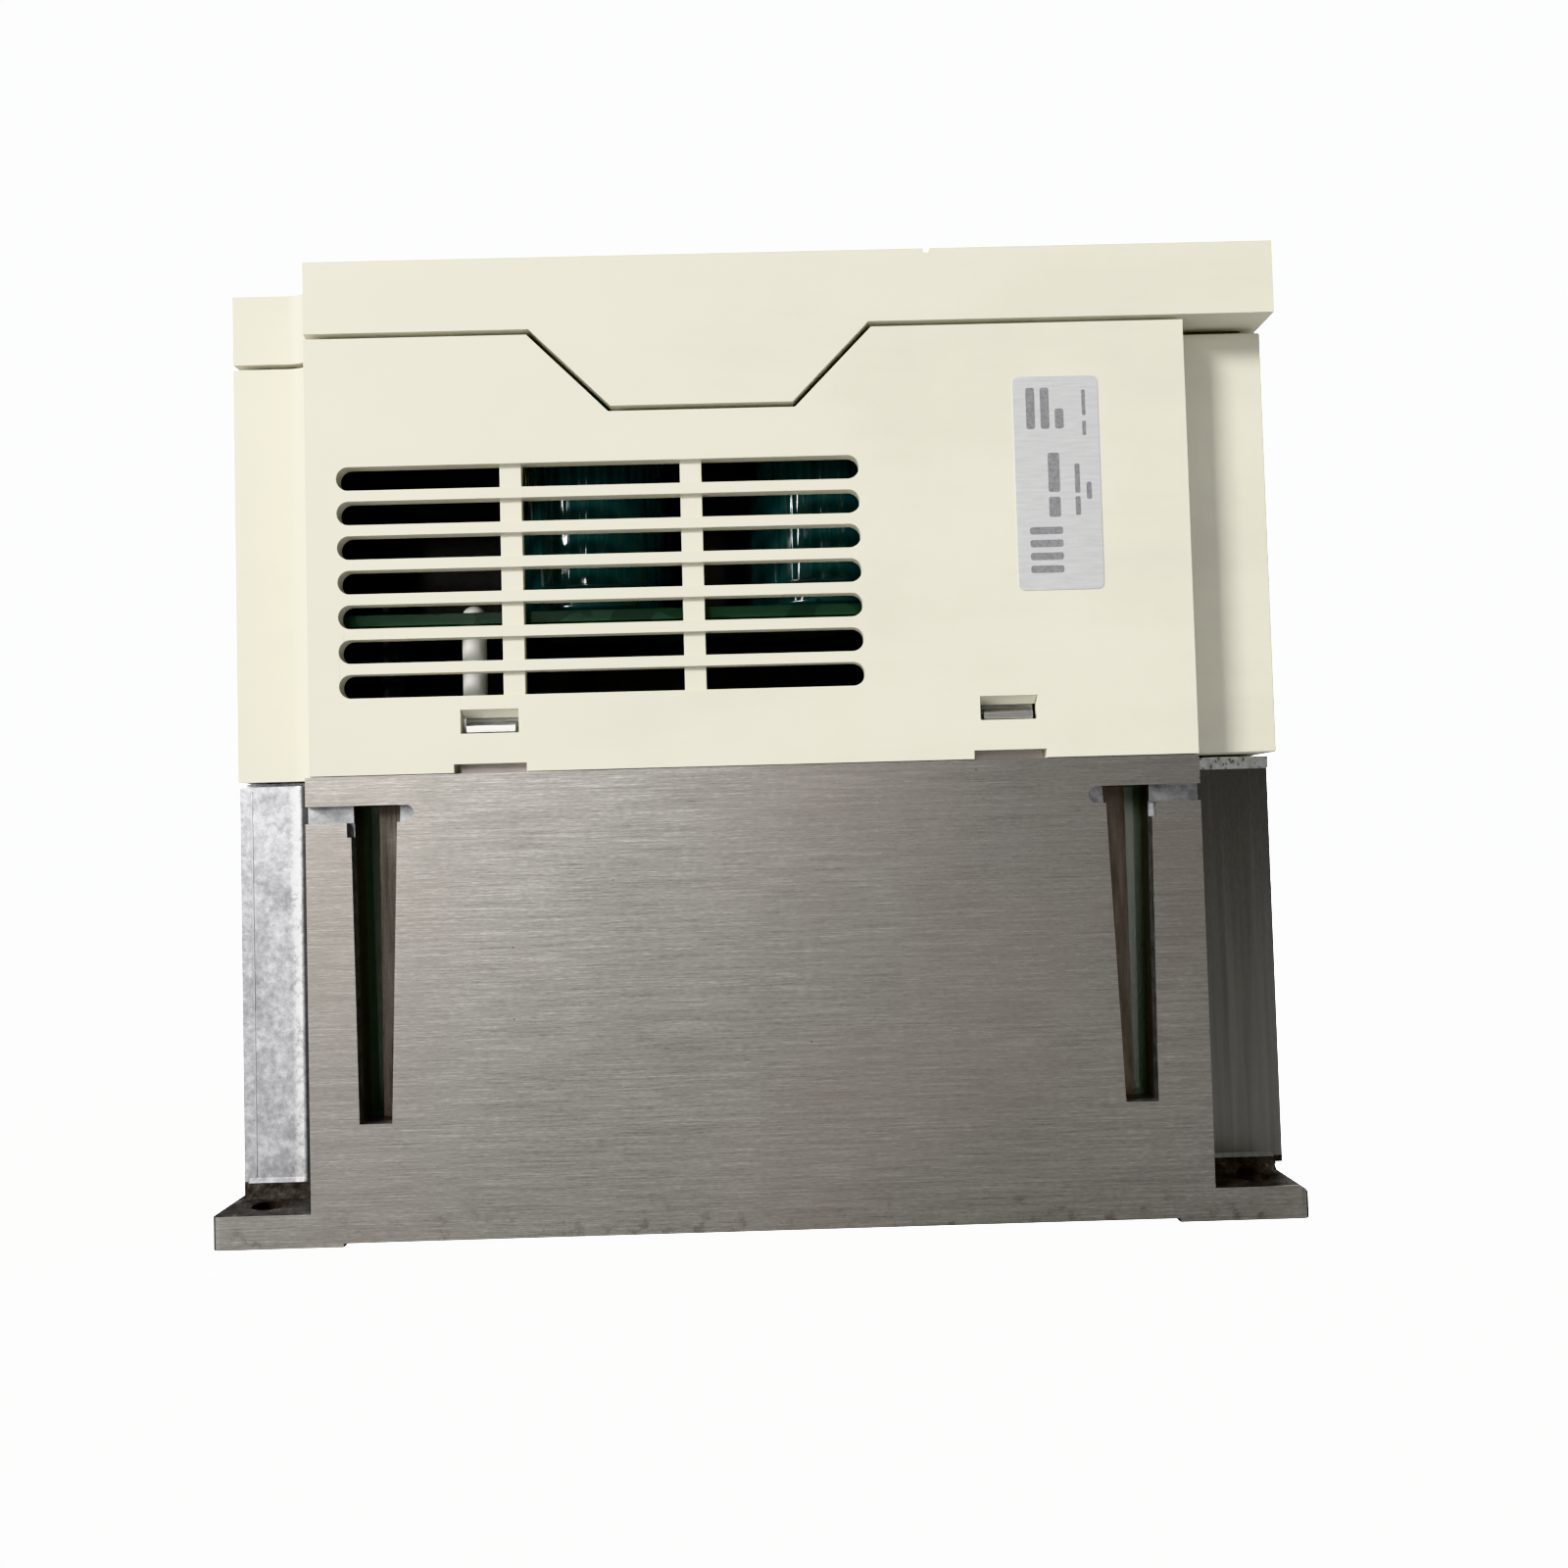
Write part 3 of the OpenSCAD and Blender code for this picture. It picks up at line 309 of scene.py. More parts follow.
def cast_aluminium():
    """One casting: milled flanks brushed along X with painted shade to the lower right, a raw end
    with a painted highlight and painted corner shade, a smooth drawn end painted dark as shade, and
    dark slots.
    """
    s = Shader("cast_aluminium")
    x, y, z = s.axes()
    facing = s.node("ShaderNodeSeparateXYZ")
    s.link(s.node("ShaderNodeNewGeometry").outputs["True Normal"], facing.inputs[0])
    deep = s.math("ABSOLUTE", y)
    flank = s.math("GREATER_THAN", deep, FLANK_Y)
    outer = s.math("MAXIMUM", s.math("GREATER_THAN", x, DRAWN_X), s.math("LESS_THAN", x, CAST_X))
    drawn = s.math("MULTIPLY", s.math("GREATER_THAN", x, DRAWN_X),
                   s.math("GREATER_THAN", z, DRAWN_LOW))
    rim = s.math("MULTIPLY", drawn, s.math("GREATER_THAN", z, RIM_LOW))

    broad = s.noise(1, 3, 0.62, s.scaled(46, 1, 2300))
    lines = s.noise(1, 4, 0.75, s.scaled(150, 1, 6800))
    fleck = s.noise(1, 2, 0.6, s.scaled(900, 1, 5200))
    patch = s.noise(24, 4, 0.6)
    long_marks = s.math("ADD", s.math("MULTIPLY", lines, 0.4), s.math("MULTIPLY", broad, 0.24))
    short_marks = s.math("ADD", s.math("MULTIPLY", fleck, 0.22), s.math("MULTIPLY", patch, 0.14))
    brush = s.math("ADD", long_marks, short_marks)
    milled = s.ramp(brush, [(0.37, (0.25, 0.24, 0.222)), (0.46, (0.40, 0.384, 0.36)),
                            (0.53, (0.50, 0.482, 0.452)), (0.63, (0.76, 0.74, 0.71))])
    # painted shade: the milled flank is darkened towards the right, and more towards the bottom, to
    # copy the fall-off of light across it
    painted_lower_right_shade = s.math("MULTIPLY", s.remap(x, -0.03, 0.06), s.remap(z, 0.0, 0.064, 0.30, 0.12))
    milled = s.mix(painted_lower_right_shade, milled, (0.10, 0.096, 0.088))
    stain = s.math("MULTIPLY", s.remap(s.noise(13, 4, 0.6), 0.45, 0.62), 0.3)
    milled = s.mix(stain, milled, (0.42, 0.355, 0.315))
    pits = s.math("ADD", s.specks(150, 0.00025, 0.10), s.specks(420, 0.00014, 0.06))
    milled = s.mix(s.math("MULTIPLY", pits, 0.8), milled, (0.07, 0.06, 0.05))
    milled = s.mix(s.specks(85, 0.00026, 0.07), milled, (0.95, 0.94, 0.9))
    edge_dirt = s.math("MULTIPLY", s.remap(z, 0.0, 0.006, 1, 0),
                       s.remap(s.noise(330, 4, 0.7), 0.56, 0.66))
    milled = s.mix(s.math("MULTIPLY", edge_dirt, 0.5), milled, (0.12, 0.095, 0.075))

    mottle = s.noise(900, 4, 0.75)
    cloud = s.noise(210, 3, 0.6)
    skin = s.math("ADD", s.math("MULTIPLY", mottle, 0.6), s.math("MULTIPLY", cloud, 0.4))
    raw = s.ramp(skin, [(0.36, (0.40, 0.40, 0.42)), (0.5, (0.60, 0.60, 0.625)),
                        (0.64, (0.86, 0.86, 0.885))])
    # painted highlight: a narrow strip at the raw end's rounded edge is painted near white in mottled
    # patches
    ridge = s.math("MULTIPLY", s.remap(x, -0.0676, -0.0669), s.remap(x, -0.0662, -0.0657, 1, 0))
    painted_ridge_highlight = s.math("MULTIPLY", ridge, s.remap(mottle, 0.38, 0.58, 0.25, 1))
    raw = s.mix(painted_ridge_highlight, raw, (0.98, 0.98, 0.98))
    # painted shade: the raw end's strip next to the flank's edge is painted near black as the shade
    # in that corner
    corner = s.math("MULTIPLY", s.remap(x, -0.0662, -0.0656), s.math("LESS_THAN", x, -0.0615))
    raw = s.mix(s.math("MULTIPLY", corner, 0.93), raw, (0.035, 0.035, 0.035))

    streak = s.noise(1, 3, 0.55, s.scaled(700, 700, 14))
    # painted shade: the drawn end's colour is kept dark to stand in for the shade it lies in; its
    # streaks are its real finish
    smooth = s.ramp(streak, [(0.25, (0.195, 0.19, 0.178)), (0.6, (0.255, 0.25, 0.235)),
                             (0.8, (0.36, 0.36, 0.35))])
    rough_rim = s.ramp(s.noise(1100, 3, 0.6), [(0.36, (0.30, 0.30, 0.27)),
                                               (0.44, (0.85, 0.85, 0.80)), (0.55, 1.0)])

    groove = s.ramp(s.noise(420, 4, 0.7), [(0.3, (0.30, 0.30, 0.31)), (0.7, (0.62, 0.62, 0.63))])
    slot = s.ramp(s.noise(1, 4, 0.7, s.scaled(900, 900, 60)), [(0.3, (0.14, 0.125, 0.11)),
                                                               (0.7, (0.27, 0.245, 0.22))])
    slot = s.mix(s.remap(deep, 0.0644, 0.0632), slot, (0.42, 0.45, 0.42))
    slot = s.mix(s.remap(deep, 0.0672, 0.0680), slot, groove)

    colour = s.mix(drawn, raw, smooth)
    colour = s.mix(rim, colour, rough_rim)
    colour = s.mix(outer, slot, colour)
    foot = s.math("MULTIPLY", s.math("LESS_THAN", z, FLANGE_TOP),
                  s.math("GREATER_THAN", facing.outputs[2], -0.5))
    foot_dirt = s.ramp(s.noise(520, 5, 0.75), [(0.4, (0.04, 0.037, 0.034)),
                                               (0.62, (0.11, 0.10, 0.09)),
                                               (0.75, (0.40, 0.39, 0.37))])
    colour = s.mix(foot, colour, foot_dirt)
    colour = s.mix(flank, colour, milled)
    ends = s.blend(drawn, 0.44, s.remap(streak, 0.3, 0.7, 0.40, 0.3))
    coarse = s.blend(flank, s.blend(foot, ends, 0.65), s.remap(brush, 0.40, 0.60, 0.46, 0.36))
    s.set(metallic=1.0, base_color=colour, roughness=coarse)
    relief = s.blend(flank, s.blend(drawn, mottle, s.math("MULTIPLY", streak, 0.25)),
                     s.math("ADD", s.math("MULTIPLY", lines, 0.5), s.math("MULTIPLY", fleck, 0.25)))
    s.bump(relief, 0.55, 0.00008)
    return s.mat


def clip_steel():
    """Spring clips: a dull plate painted dark as shade, with a nose painted bright as a highlight."""
    s = Shader("clip_steel")
    _, y, z = s.axes()
    nose = s.math("MULTIPLY", s.math("GREATER_THAN", s.math("ABSOLUTE", y), 0.0677),
                  s.math("LESS_THAN", z, 0.0714))
    low = s.math("LESS_THAN", z, 0.0668)
    grain = s.noise(1, 3, 0.6, s.scaled(300, 300, 3000))
    # painted shade: the recessed plate is painted dark
    plate_painted_shade = s.ramp(grain, [(0.3, (0.22, 0.225, 0.21)), (0.7, (0.38, 0.385, 0.36))])
    # painted highlight: the lit nose is painted near white
    bright = s.ramp(grain, [(0.3, (0.82, 0.82, 0.79)), (0.6, (1.0, 1.0, 0.98))])
    colour = s.mix(nose, s.mix(low, plate_painted_shade, (0.68, 0.62, 0.59)), bright)
    s.set(metallic=1.0, base_color=colour, roughness=s.blend(nose, 0.5, 0.3))
    s.bump(grain, 0.25, 0.00005)
    return s.mat


def blacked_steel():
    """Board screws and their spacers, blacked, with a little shine."""
    s = Shader("blacked_steel")
    marks = s.noise(1500, 3)
    s.set(metallic=1.0, roughness=s.remap(marks, 0.3, 0.7, 0.5, 0.36),
          base_color=s.ramp(marks, [(0.3, (0.035, 0.035, 0.038)), (0.7, (0.06, 0.06, 0.063))]))
    s.bump(marks, 0.2, 0.00004)
    return s.mat


def label_foil():
    s = Shader("label_foil")
    roll = s.noise(1, 3, 0.6, s.scaled(300, 300, 2600))
    s.set(metallic=0.25, roughness=0.4,
          base_color=s.ramp(roll, [(0.3, (0.66, 0.665, 0.67)), (0.7, (0.76, 0.76, 0.77))]))
    s.bump(s.noise(160, 3, 0.6), 0.25, 0.0001)
    return s.mat


def ink():
    s = Shader("ink")
    tone = s.ramp(s.noise(2600, 3), [(0.35, (0.23, 0.23, 0.24)), (0.65, (0.33, 0.325, 0.34))])
    s.set(base_color=tone,
          roughness=s.remap(s.noise(900), 0.3, 0.7, 0.4, 0.6))
    s.bump(s.noise(3000, 2), 0.1, 0.00002)
    return s.mat


def capacitor_sleeve():
    """Shrink sleeve: near-black teal, glossy, with shallow vertical tension lines."""
    s = Shader("capacitor_sleeve")
    lines = s.noise(1, 2, 0.5, s.scaled(160, 160, 60))
    s.set(base_color=s.ramp(lines, [(0.3, (0.016, 0.040, 0.040)), (0.7, (0.022, 0.052, 0.052))]),
          roughness=s.remap(lines, 0.3, 0.7, 0.14, 0.2), coat_weight=0.4, coat_roughness=0.06)
    s.bump(lines, 0.06, 0.0001)
    return s.mat


def circuit_board(name="circuit_board", colour=(0.030, 0.062, 0.043)):
    """Solder mask over copper: darker lands, faint glass weave, semi-gloss."""
    s = Shader(name)
    lands = s.remap(s.noise(170, 1, 0.4), 0.49, 0.51)
    weave = s.noise(2600, 2)
    s.set(base_color=s.mix(lands, colour, shaded(colour, 1.6)),
          roughness=s.remap(weave, 0.3, 0.7, 0.4, 0.55), specular=0.3,
          coat_weight=0.08, coat_roughness=0.2)
    relief = s.math("ADD", s.math("MULTIPLY", lands, 0.6), s.math("MULTIPLY", weave, 0.3))
    s.bump(relief, 0.4, 0.00004)
    return s.mat


def display_glass():
    s = Shader("display_glass")
    dust = s.noise(1200, 3, 0.7)
    s.set(base_color=s.ramp(dust, [(0.3, (0.17, 0.012, 0.012)), (0.7, (0.23, 0.02, 0.018))]),
          roughness=s.remap(dust, 0.4, 0.7, 0.05, 0.16), transmission_weight=0.75, ior=1.49)
    s.bump(dust, 0.05, 0.00002)
    return s.mat


def nylon():
    s = Shader("nylon")
    cloud = s.noise(220, 3)
    s.set(base_color=s.ramp(cloud, [(0.3, (0.88, 0.89, 0.85)), (0.7, (0.96, 0.96, 0.93))]),
          roughness=s.remap(cloud, 0.3, 0.7, 0.38, 0.5))
    s.bump(s.noise(1500, 2), 0.12, 0.00005)
    return s.mat


def make_materials():
    return {
        "cream_plastic": cream_plastic(),
        "cast_aluminium": cast_aluminium(),
        "label_foil": label_foil(),
        "ink": ink(),
        "circuit_board": circuit_board(),
        "nylon": nylon(),
        "capacitor_sleeve": capacitor_sleeve(),
        "display_glass": display_glass(),
        "connector_plastic": plastic("connector_plastic", (0.66, 0.62, 0.50), 0.4),
        "black_plastic": plastic("black_plastic", (0.016, 0.016, 0.018), 0.42, 0.3, 3000, 0.2),
        "panel_plastic": plastic("panel_plastic", (0.040, 0.044, 0.050), 0.5, 0.5, 2800, 0.08,
                                 0.06),
        "thermal_pad": plastic("thermal_pad", (0.42, 0.43, 0.42), 0.75, 0.4, 1500),
        "relay_blue": plastic("relay_blue", (0.018, 0.06, 0.23), 0.32, 0.15, 2400, 0.1),
        "ferrite_winding": plastic("ferrite_winding", (0.055, 0.05, 0.045), 0.5, 0.5, 900, 0.25),
        "lamp": plastic("lamp", (0.10, 0.36, 0.12), 0.2, 0.05, 900, 0.1, transmission_weight=0.3),
        "cable_grey": plastic("cable_grey", (0.30, 0.32, 0.35), 0.5, 0.2, 1800),
        "lead_red": plastic("lead_red", (0.33, 0.018, 0.018), 0.42, 0.2, 1200, 0.12),
        "terminal_green": plastic("terminal_green", (0.035, 0.15, 0.09), 0.4, 0.2, 2000, 0.1),
        "display": plastic("display", (0.035, 0.03, 0.03), 0.3, 0.1, 1500, 0.1),
        "key_grey": plastic("key_grey", (0.27, 0.28, 0.29), 0.5, 0.4, 2600, 0.05),
        "key_green": plastic("key_green", (0.045, 0.17, 0.085), 0.5, 0.4, 2600, 0.08),
        "key_red": plastic("key_red", (0.36, 0.022, 0.018), 0.5, 0.4, 2600, 0.08),
        "print_white": plastic("print_white", (0.72, 0.72, 0.70), 0.5, 0.1, 2500, 0.05),
        "segment": plastic("segment", (0.30, 0.12, 0.10), 0.4, 0.1, 2000, 0.06),
        "chip_tan": plastic("chip_tan", (0.36, 0.25, 0.14), 0.35, 0.15, 2500, 0.12),
        "steel": metal("steel", (0.60, 0.60, 0.60), 0.30, 1500),
        "earth_green": metal("earth_green", (0.34, 0.50, 0.30), 0.32, 1500),
        "clip_steel": clip_steel(),
        "blacked_steel": blacked_steel(),
        "bright_cast": metal("bright_cast", (0.98, 0.98, 0.98), 0.4, 2600),
        "solder": metal("solder", (0.66, 0.66, 0.68), 0.22, 700),
        "copper": metal("copper", (0.74, 0.36, 0.19), 0.30, 1200),
        "brass": metal("brass", (0.72, 0.53, 0.24), 0.26, 1300, (1, 1, 4)),
        "board_track": circuit_board("board_track", (0.055, 0.13, 0.08)),
    }


# ---------------------------------------------------------------- CAD nodes

EDGE = {"heatsink": 0.22, "case": 0.3, "front_cover": 0.45, "wiring_cover": 0.4, "fan_cover": 0.25,
        "panel_case": 0.5, "power_module": 0.3, "insulating_frame": 0.3}
KEY_EDGE, SMALL_EDGE = 0.45, 0.12
CREASE, LEVEL = math.radians(32), math.radians(0.4)
OWN_MATERIAL = {"case_clips": "clip_steel", "board_screws": "blacked_steel"}


def soften(ob, width, segments=2):
    """Rounds a node's edges with modifiers; its own mesh stays as it is."""
    ob.data.polygons.foreach_set("use_smooth", [True] * len(ob.data.polygons))
    weld = ob.modifiers.new("weld", "WELD")
    weld.merge_threshold = 1e-6
    flat = ob.modifiers.new("flat", "DECIMATE")
    flat.decimate_type = "DISSOLVE"
    flat.angle_limit = LEVEL
    bevel = ob.modifiers.new("bevel", "BEVEL")
    bevel.width = width * MM
    bevel.segments = segments
    bevel.limit_method = "ANGLE"
    bevel.angle_limit = CREASE
    even = ob.modifiers.new("even", "WEIGHTED_NORMAL")
    even.keep_sharp = True


def dress_nodes(materials):
    for name, ob in NODES.items():
        ob.data.materials.clear()
        ob.data.materials.append(materials[OWN_MATERIAL.get(name, SLOT_OF[name])])
        usual = KEY_EDGE if SLOT_OF[name].startswith("key_") else SMALL_EDGE
        soften(ob, EDGE.get(name, usual))


# ---------------------------------------------------------------- mesh helpers

def finish_mesh(name, bm, material, body="root", bevel=0.0, smooth=True):
    """Turns a bmesh, drawn in mm in the row's frame, into a piece that rides on a body."""
    bmesh.ops.recalc_face_normals(bm, faces=bm.faces)
    bm.transform(Matrix.Scale(MM, 4))
    mesh = bpy.data.meshes.new(name)
    bm.to_mesh(mesh)
    bm.free()
    if smooth:
        mesh.polygons.foreach_set("use_smooth", [True] * len(mesh.polygons))
    ob = bpy.data.objects.new(name, mesh)
    bpy.context.collection.objects.link(ob)
    mesh.materials.append(material)
    if bevel:
        mod = ob.modifiers.new("bevel", "BEVEL")
        mod.width = bevel * MM
        mod.segments = 2
        mod.limit_method = "ANGLE"
        mod.angle_limit = CREASE
    if smooth:
        even = ob.modifiers.new("even", "WEIGHTED_NORMAL")
        even.keep_sharp = True
    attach(ob, body)
    return ob


def add_prism(bm, outline, low, high, place=Matrix.Identity(4)):
    """A straight prism on a plan outline, from z low to z high, then placed."""
    bottom = [bm.verts.new(place @ Vector((x, y, low))) for x, y in outline]
    top = [bm.verts.new(place @ Vector((x, y, high))) for x, y in outline]
    bm.faces.new(bottom[::-1])
    bm.faces.new(top)
    n = len(outline)
    for i in range(n):
        j = (i + 1) % n
        bm.faces.new((bottom[i], bottom[j], top[j], top[i]))


def add_block(bm, low, high):
    add_prism(bm, [(low[0], low[1]), (high[0], low[1]), (high[0], high[1]), (low[0], high[1])],
              low[2], high[2])


def rounded(x1, y1, x2, y2, r, steps=5):
    """Outline of a rounded rectangle."""
    out = []
    corners = ((x2 - r, y2 - r, 0), (x1 + r, y2 - r, 90),
               (x1 + r, y1 + r, 180), (x2 - r, y1 + r, 270))
    for cx, cy, start in corners:
        for i in range(steps + 1):
            a = math.radians(start + 90 * i / steps)
            out.append((cx + r * math.cos(a), cy + r * math.sin(a)))
    return out


def add_lathe(bm, profile, centre, segments=48):
    """A closed turned shape about a vertical axis; profile is (radius, z), ends on the axis."""
    rings = []
    for r, z in profile:
        if r < 1e-6:
            rings.append([bm.verts.new((centre[0], centre[1], z))])
        else:
            rings.append([bm.verts.new((centre[0] + r * math.cos(math.tau * k / segments),
                                        centre[1] + r * math.sin(math.tau * k / segments), z))
                          for k in range(segments)])
    for a, b in zip(rings, rings[1:]):
        for k in range(segments):
            j = (k + 1) % segments
            loop = [a[k % len(a)], a[j % len(a)], b[j % len(b)], b[k % len(b)]]
            bm.faces.new(list(dict.fromkeys(loop)))


def solid_boxes(node):
    """Lowest and highest corner, in mm, of each separate solid of a CAD node."""
    mesh = NODES[node].data
    parent = {}

    def find(a):
        while parent.setdefault(a, a) != a:
            parent[a] = parent[parent[a]]
            a = parent[a]
        return a

    keys = [tuple(round(c * 1e5) for c in v.co) for v in mesh.vertices]
    for poly in mesh.polygons:
        first = find(keys[poly.vertices[0]])
        for i in poly.vertices[1:]:
            parent[find(keys[i])] = first
    boxes = {}
    for key in keys:
        low, high = boxes.setdefault(find(key), (list(key), list(key)))
        for i in range(3):
            low[i], high[i] = min(low[i], key[i]), max(high[i], key[i])
    return [([c / 100 for c in low], [c / 100 for c in high]) for low, high in boxes.values()]


# ---------------------------------------------------------------- labels

def side_frame(sign, surface):
    """Maps a label's plan (u right, v up, w outward, as read) onto the casing's side."""
    return Matrix(((-sign, 0, 0, 0), (0, 0, sign, surface * sign), (0, 1, 0, 0), (0, 0, 0, 1)))


FOIL_THICK, INK_THICK = 0.07, 0.02


def make_label(node, sign, marks, materials):
    """A foil label with rounded corners and neutral printed bars, in place of the CAD label."""
    low, high = ([c / MM for c in corner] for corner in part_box(node))
    surface = min(abs(low[1]), abs(high[1]))
    width, tall = high[0] - low[0], high[2] - low[2]
    centre = (low[0] + high[0]) / 2
    place = side_frame(sign, surface) @ Matrix.Translation((-sign * centre - width / 2, low[2], 0))
    bm = bmesh.new()
    add_prism(bm, rounded(0, 0, width, tall, 0.9), 0, FOIL_THICK, place)
    foil = finish_mesh(node + "_foil", bm, materials["label_foil"], smooth=False)
    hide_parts(node)
    bm = bmesh.new()
    for u1, v1, u2, v2 in marks:
        r = min(0.3, (u2 - u1) * 0.3, (v2 - v1) * 0.3)
        add_prism(bm, rounded(u1, v1, u2, v2, r, 3), FOIL_THICK, FOIL_THICK + INK_THICK, place)
    finish_mesh(node + "_print", bm, materials["ink"], smooth=False)


def make_labels(materials):
    """The short side label and the rating label on the far side, both with neutral bars only."""
    side = [(1.8, 22.6, 3.0, 28.4), (3.8, 22.6, 5.0, 28.4), (5.8, 22.6, 7.0, 25.4),
            (4.6, 10.2, 6.2, 13.0), (4.6, 13.7, 6.2, 19.2),
            (1.8, 2.4, 6.4, 3.4), (1.8, 4.2, 6.4, 5.2), (1.8, 6.0, 6.4, 7.0), (1.8, 7.8, 6.4, 8.8),
            (8.3, 10.4, 9.0, 13.0), (8.3, 13.5, 9.0, 17.6), (9.9, 12.6, 10.6, 15.0),
            (9.6, 21.6, 10.1, 23.6), (9.6, 24.4, 10.1, 28.0)]
    make_label("side_label", -1, side, materials)
    dice = random.Random(11)
    rating = [(2, 38.6, 12, 41.4), (14, 39.2, 22, 40.2)]
    for row in range(6):
        v = 35.4 - row * 3.4
        rating += [(2, v, 2 + dice.uniform(4, 7), v + 0.9),
                   (11, v, 11 + dice.uniform(5, 10.5), v + 0.9)]
    u = 2.2
    while u < 21.4:
        wide = dice.choice((0.22, 0.22, 0.42, 0.62))
        rating.append((u, 5.2, u + wide, 12.6))
        u += wide + dice.choice((0.3, 0.3, 0.55))
    rating += [(2.2, 2.8, 14, 3.7)]
    rating += [(1.2, 36.9, 22.8, 37.05), (1.2, 14.2, 22.8, 14.35), (9.6, 16, 9.75, 36.2)]
    make_label("rating_label", 1, rating, materials)


# ---------------------------------------------------------------- operation panel

def panel_place(x, y, z):
    """Maps a plan drawn upright (u right, v up) onto the front: right is +Y, up is -X."""
    return Matrix(((0, -1, 0, x), (1, 0, 0, y), (0, 0, 1, z), (0, 0, 0, 1)))


def arc(radius, inner, start, stop, steps=14):
    """Outline of part of a ring."""
    turns = [math.radians(start + (stop - start) * i / steps) for i in range(steps + 1)]
    return ([(radius * math.cos(a), radius * math.sin(a)) for a in turns]
            + [(inner * math.cos(a), inner * math.sin(a)) for a in reversed(turns)])


KEY_SIGNS = {
    "key_up": [[(-1.7, -1.1), (1.7, -1.1), (0, 1.7)]],
    "key_down": [[(-1.7, 1.1), (0, -1.7), (1.7, 1.1)]],
    "key_mode": [[(-1.8, v), (1.8, v), (1.8, v + 0.45), (-1.8, v + 0.45)] for v in (-1.3, -0.2, 0.9)],
    "key_set": [arc(1.6, 1.15, 0, 359, 28), rounded(-0.5, -0.5, 0.5, 0.5, 0.45)],
    "key_forward": [arc(1.7, 1.25, 200, -20), [(0.75, -0.4), (2.2, -0.4), (1.5, -1.6)]],
    "key_reverse": [arc(1.7, 1.25, -20, 200), [(-0.75, -0.4), (-1.5, -1.6), (-2.2, -0.4)]],
    "key_stop": [rounded(-1.4, -1.4, 1.4, 1.4, 0.25)],
}
SIGN_THICK = 0.06
SUNK = 0.02   # how far print reaches into what it is on


def make_key_signs(materials):
    for name, shapes in KEY_SIGNS.items():
        low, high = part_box(name)
        x, y = (low[0] + high[0]) / 2 / MM, (low[1] + high[1]) / 2 / MM
        bm = bmesh.new()
        for outline in shapes:
            add_prism(bm, outline, -SUNK, SIGN_THICK, panel_place(x, y, high[2] / MM))
        finish_mesh(name + "_sign", bm, materials["print_white"], name,
                    smooth=False)


DIGIT_HIGH, DIGIT_WIDE, DIGIT_BAR, DIGIT_PITCH = 8.6, 3.9, 0.8, 6.8
DIGIT_LEAN, DIGIT_THICK = 0.12, 0.12


def segment_outlines(high, wide, bar):
    """Seven-segment digit about its own centre: three level bars and four upright ones."""
    half_w, half_h, tip = wide / 2, high / 2, bar / 2

    def slant(points):
        return [(u + v * DIGIT_LEAN, v) for u, v in points]

    out = []
    for v in (-half_h, 0, half_h):
        out.append(slant([(-half_w + tip, v), (-half_w + bar, v - tip), (half_w - bar, v - tip),
                          (half_w - tip, v), (half_w - bar, v + tip), (-half_w + bar, v + tip)]))
    for u in (-half_w, half_w):
        for v in (-half_h, 0):
            out.append(slant([(u, v + tip), (u + tip, v + bar), (u + tip, v + half_h - bar),
                              (u, v + half_h - tip), (u - tip, v + half_h - bar),
                              (u - tip, v + bar)]))
    return out


def make_display(materials):
    """Four unlit digits with their points under the window."""
    low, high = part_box("digit_display")
    x, top = (low[0] + high[0]) / 2 / MM, high[2] / MM
    bm = bmesh.new()
    for k in range(4):
        place = panel_place(x, (k - 1.5) * DIGIT_PITCH, top)
        for outline in segment_outlines(DIGIT_HIGH, DIGIT_WIDE, DIGIT_BAR):
            add_prism(bm, outline, -SUNK, DIGIT_THICK, place)
        add_prism(bm, rounded(2.5, -4.7, 3.3, -3.9, 0.38), -SUNK, DIGIT_THICK, place)
    finish_mesh("display_digits", bm, materials["segment"], "operation_panel",
                smooth=False)


def make_panel_print(materials):
    """Fine frame and index marks printed on the panel's face."""
    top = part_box("panel_case")[1][2] / MM
    bm = bmesh.new()

    def bar(x1, y1, x2, y2):
        add_block(bm, (x1, y1, top - SUNK), (x2, y2, top + 0.05))

    x1, x2, y = -50.2, -28.6, 18.4
    for side in (-1, 1):
        bar(x1, side * y - 0.15, x2, side * y + 0.15)
    bar(x1, -y, x1 + 0.3, y)
    bar(x2 - 0.3, -y, x2, y)
    for lamp_y in (-9, 0, 9):
        bar(-24.3, lamp_y - 2.2, -23.9, lamp_y + 2.2)
    bar(8.6, -16, 9.0, 4)
    for step in range(9):
        bar(7.6, -15.9 + step * 2.4, 8.3, -15.6 + step * 2.4)
    finish_mesh("panel_print", bm, materials["print_white"], "operation_panel",
                smooth=False)


# ---------------------------------------------------------------- boards

CLEARANCE = 0.4   # least space between two parts on a board


def free_spot(dice, area, blocked, size, tries=60):
    """A random place for a part inside area, clear of what is there already."""
    for _ in range(tries):
        x = round(dice.uniform(area[0] + 1, area[2] - 1 - size[0]) / 0.5) * 0.5
        y = round(dice.uniform(area[1] + 1, area[3] - 1 - size[1]) / 0.5) * 0.5
        spot = (x, y, x + size[0], y + size[1])
        if all(spot[2] + CLEARANCE < b[0] or spot[0] - CLEARANCE > b[2]
               or spot[3] + CLEARANCE < b[1] or spot[1] - CLEARANCE > b[3] for b in blocked):
            blocked.append(spot)
            return spot
    return None


